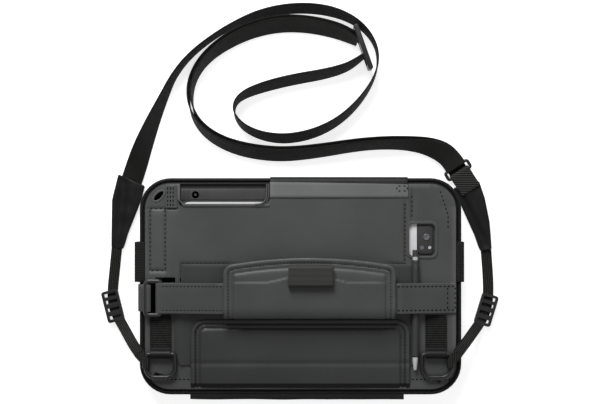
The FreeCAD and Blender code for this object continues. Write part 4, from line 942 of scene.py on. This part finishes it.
# ------------------------------------------------------------------ hand strap and its padded grip
# A leather strap runs from the ring at the left, through the tunnel of a padded grip, to the right edge. The
# grip is a bound pad with a crowned upper edge, and an elastic loop on it holds a pen.
strap_low, strap_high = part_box("hand_strap_left")
pad_low, pad_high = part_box("grip_pad")
row_heights = (strap_low.y + 3 * mm, strap_high.y - 3 * mm)
strap_rows = [[(rim_low.x, y), (rim_high.x, y)] for y in row_heights]
bm = cover("hand_strap_left", 0.5 * mm, 2 * mm)
pull_seams(bm, strap_rows, 0.35 * mm, 1 * mm)
left_strap = piece("hand_strap_left_leather", bm, leather_grey, "left_strap", ["hand_strap_left"])
stitch_rows("hand_strap_left_stitches", left_strap,
            [[(strap_low.x + 6 * mm, y), (pad_low.x - 1 * mm, y)] for y in row_heights],
            "left_strap", 3.4 * mm, 2.2 * mm, 0.9 * mm)

anchor_low, anchor_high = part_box("hand_strap_anchor")
right_low, right_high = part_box("hand_strap_right")
rise = 5 * mm
thick = 2.0 * mm
section = [(anchor_high.x, anchor_low.z), (anchor_high.x, anchor_high.z), (right_high.x, anchor_high.z),
           (pad_high.x + rise, right_high.z), (right_low.x, right_high.z), (right_low.x, right_high.z - thick),
           (pad_high.x + rise, right_high.z - thick), (right_high.x - 1 * mm, anchor_low.z)]
bm = swept([(x, right_low.y, z) for x, z in section], (0, right_high.y - right_low.y, 0))
cut_grid(soften(bm, 0.5 * mm, angle=50), 2 * mm)
pull_seams(bm, strap_rows, 0.35 * mm, 1 * mm)
bending = ("case", "right_strap", Vector((right_high.x + 1.5 * mm, 0, anchor_high.z)),
           Vector((right_high.x - 3 * mm, 0, anchor_high.z)))
right_strap = piece("hand_strap_right_leather", bm, leather_grey, bending,
                    ["hand_strap_right", "hand_strap_anchor"])
tack_out = anchor_high.x - 1 * mm
tack_in = anchor_high.x - 8 * mm
stitch_rows("hand_strap_right_stitches", right_strap,
            [[(pad_high.x + 1 * mm, y), (tack_out, y)] for y in row_heights]
            + [[(x, row_heights[0]), (x, row_heights[1])] for x in (tack_out, tack_in)], bending)
bm = cover("ring_anchor_tab", 0.5 * mm, 3 * mm)
piece("ring_tab_leather", bm, leather_grey, "case", ["ring_anchor_tab"])

crown_x = (pad_low.x + pad_high.x) / 2
shoulder = pad_high.y - 7.3 * mm


def crowned(inset, corner):
    """Line along the grip's sides and its crowned upper edge, drawn in from its outline."""
    top_r = ((pad_high.x - pad_low.x) ** 2 / 4 + (pad_high.y - shoulder) ** 2) / (pad_high.y - shoulder) / 2
    reach = (pad_high.x - pad_low.x) / 2 - inset
    arc = []
    for step in range(13):
        x = -reach + 2 * reach * step / 12
        arc.append((crown_x + x, pad_high.y - top_r + math.sqrt((top_r - inset) ** 2 - x ** 2),
                    corner if step in (0, 12) else 0))
    return rounded([(pad_low.x + inset, pad_low.y, 0)] + arc + [(pad_high.x - inset, pad_low.y, 0)])


bm = cut_grid(soften(merged_copy("grip_pad"), 1.4 * mm, segments=4), 1.2 * mm)
bound_lid(bm, crowned(0, 8 * mm), pad_high.z, swell=1.4 * mm)
# A lower layer on the grip has an upper edge that dips beside the pen loop, and the grip rolls under at its foot.
pen_low, pen_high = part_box("pen_loop")
layer_edge = ([(pad_low.x + band_w + 0.6 * mm, 6.3 * mm), (-32.5 * mm, 6.3 * mm), (-24 * mm, 7.8 * mm),
               (pen_low.x, 10.9 * mm)],
              [(pen_high.x, 9.9 * mm), (38 * mm, 7.6 * mm), (45.8 * mm, 6.1 * mm),
               (pad_high.x - band_w - 0.6 * mm, 6.1 * mm)])
foot_roll = 11 * mm
bm.normal_update()
for vert in bm.verts:
    if vert.normal.z < 0.3 or vert.co.z < pad_high.z - 3 * mm:
        continue
    for line in layer_edge:
        for one, two in zip(line, line[1:]):
            if one[0] <= vert.co.x < two[0]:
                below = one[1] + (two[1] - one[1]) * (vert.co.x - one[0]) / (two[0] - one[0]) - vert.co.y
                vert.co.z += 0.55 * mm * math.exp(-below / (14 * mm)) if below > 0 else -0.35 * mm * math.exp(
                    below / (5 * mm))
    foot = pad_low.y + foot_roll - vert.co.y
    if foot > 0:
        vert.co.z -= 3.2 * mm * (foot / foot_roll) ** 2
uneven(bm, 0.5 * mm, 30 * mm)
grip = piece("padded_grip", bm, leather_grey, "grip", ["grip_pad"])
stitch_rows("grip_stitches", grip, [crowned(roll_w, 5 * mm)], "grip", 3.2 * mm, 2 * mm, 0.8 * mm)

elastic_brown = webbing_finish("elastic", 0.035, 1.1 * mm, 0.12 * mm, "Y")
bm = cover("pen_loop", 0.6 * mm, 3 * mm)
piece("pen_loop_elastic", bm, elastic_brown, "grip", ["pen_loop"])

# ------------------------------------------------------------------ D-rings: their webbing and sewn loops
# A sleeve of webbing holds each D-ring to a ribbed patch sewn to the rear panel with a cross. The narrow
# webbing folds round the outer leg of each D-ring; its sewn end is stretched to meet the free webbing.
patch_edge = 2 * mm
loop_stretch = 1.45 * mm
loop_bend = (8.5 * mm, 2 * mm)
for side in ("left", "right"):
    node = "dring_webbing_" + side
    low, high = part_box(node)
    bm = cover(node, 0.35 * mm, 3 * mm)
    patch = piece(node + "_patch", bm, webbing_finish(node + "_weave", 0.01, rib_pitch, 0.35 * mm, "Y"), "case",
                  [node])
    patch_low = low.y + 10.8 * mm
    second_finish(patch, leather_dark_and_shade, lambda middle: middle.y < patch_low - 1 * mm)
    corners = [(low.x + patch_edge, patch_low), (high.x - patch_edge, patch_low),
               (high.x - patch_edge, high.y - patch_edge), (low.x + patch_edge, high.y - patch_edge)]
    stitch_rows(node + "_stitches", patch,
                [corners + corners[:1], [corners[0], corners[2]], [corners[1], corners[3]]], "case",
                2.4 * mm, 1.8 * mm, 0.5 * mm)
    node = "strap_loop_" + side
    bm = cover(node, 0.3 * mm, 3 * mm)
    strap_line = laid_straps["narrow_strap_" + side][1]
    exit_point = Vector(strap_line[0])
    lead = Vector(strap_line[2]) - exit_point
    lead = Vector((lead.x, lead.y, 0)).normalized()
    for vert in bm.verts:
        if (vert.co - exit_point).dot(lead) > -3 * mm:
            vert.co += lead * loop_stretch
    piece(node + "_webbing", bm, webbing_finish(node + "_weave", 0.014, rib_pitch, 0.35 * mm, "X"),
          (side + "_dring", "case", exit_point - lead * loop_bend[0], exit_point - lead * loop_bend[1]),
          [node])

# Below the adapter ring the doubled webbing runs on under the fold, into the right leather end.
under_route = [(0.1462, 0.1136, 0.0009, 180), (0.1486, 0.1098, 0.0009, 180), (0.151, 0.106, 0.0009, 180)]
band, _, _ = ribbon("ring_webbing_under", under_route, 18 * mm, 1.2 * mm)
piece("ring_webbing_under", band, webbing_black, "case")
bm = cover("ring_webbing", 0.35 * mm, 3 * mm)
piece("ring_webbing_fold", bm, webbing_finish("ring_webbing_weave", 0.02, rib_pitch, 0.35 * mm, "Y"), "case",
      ["ring_webbing"])

low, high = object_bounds()
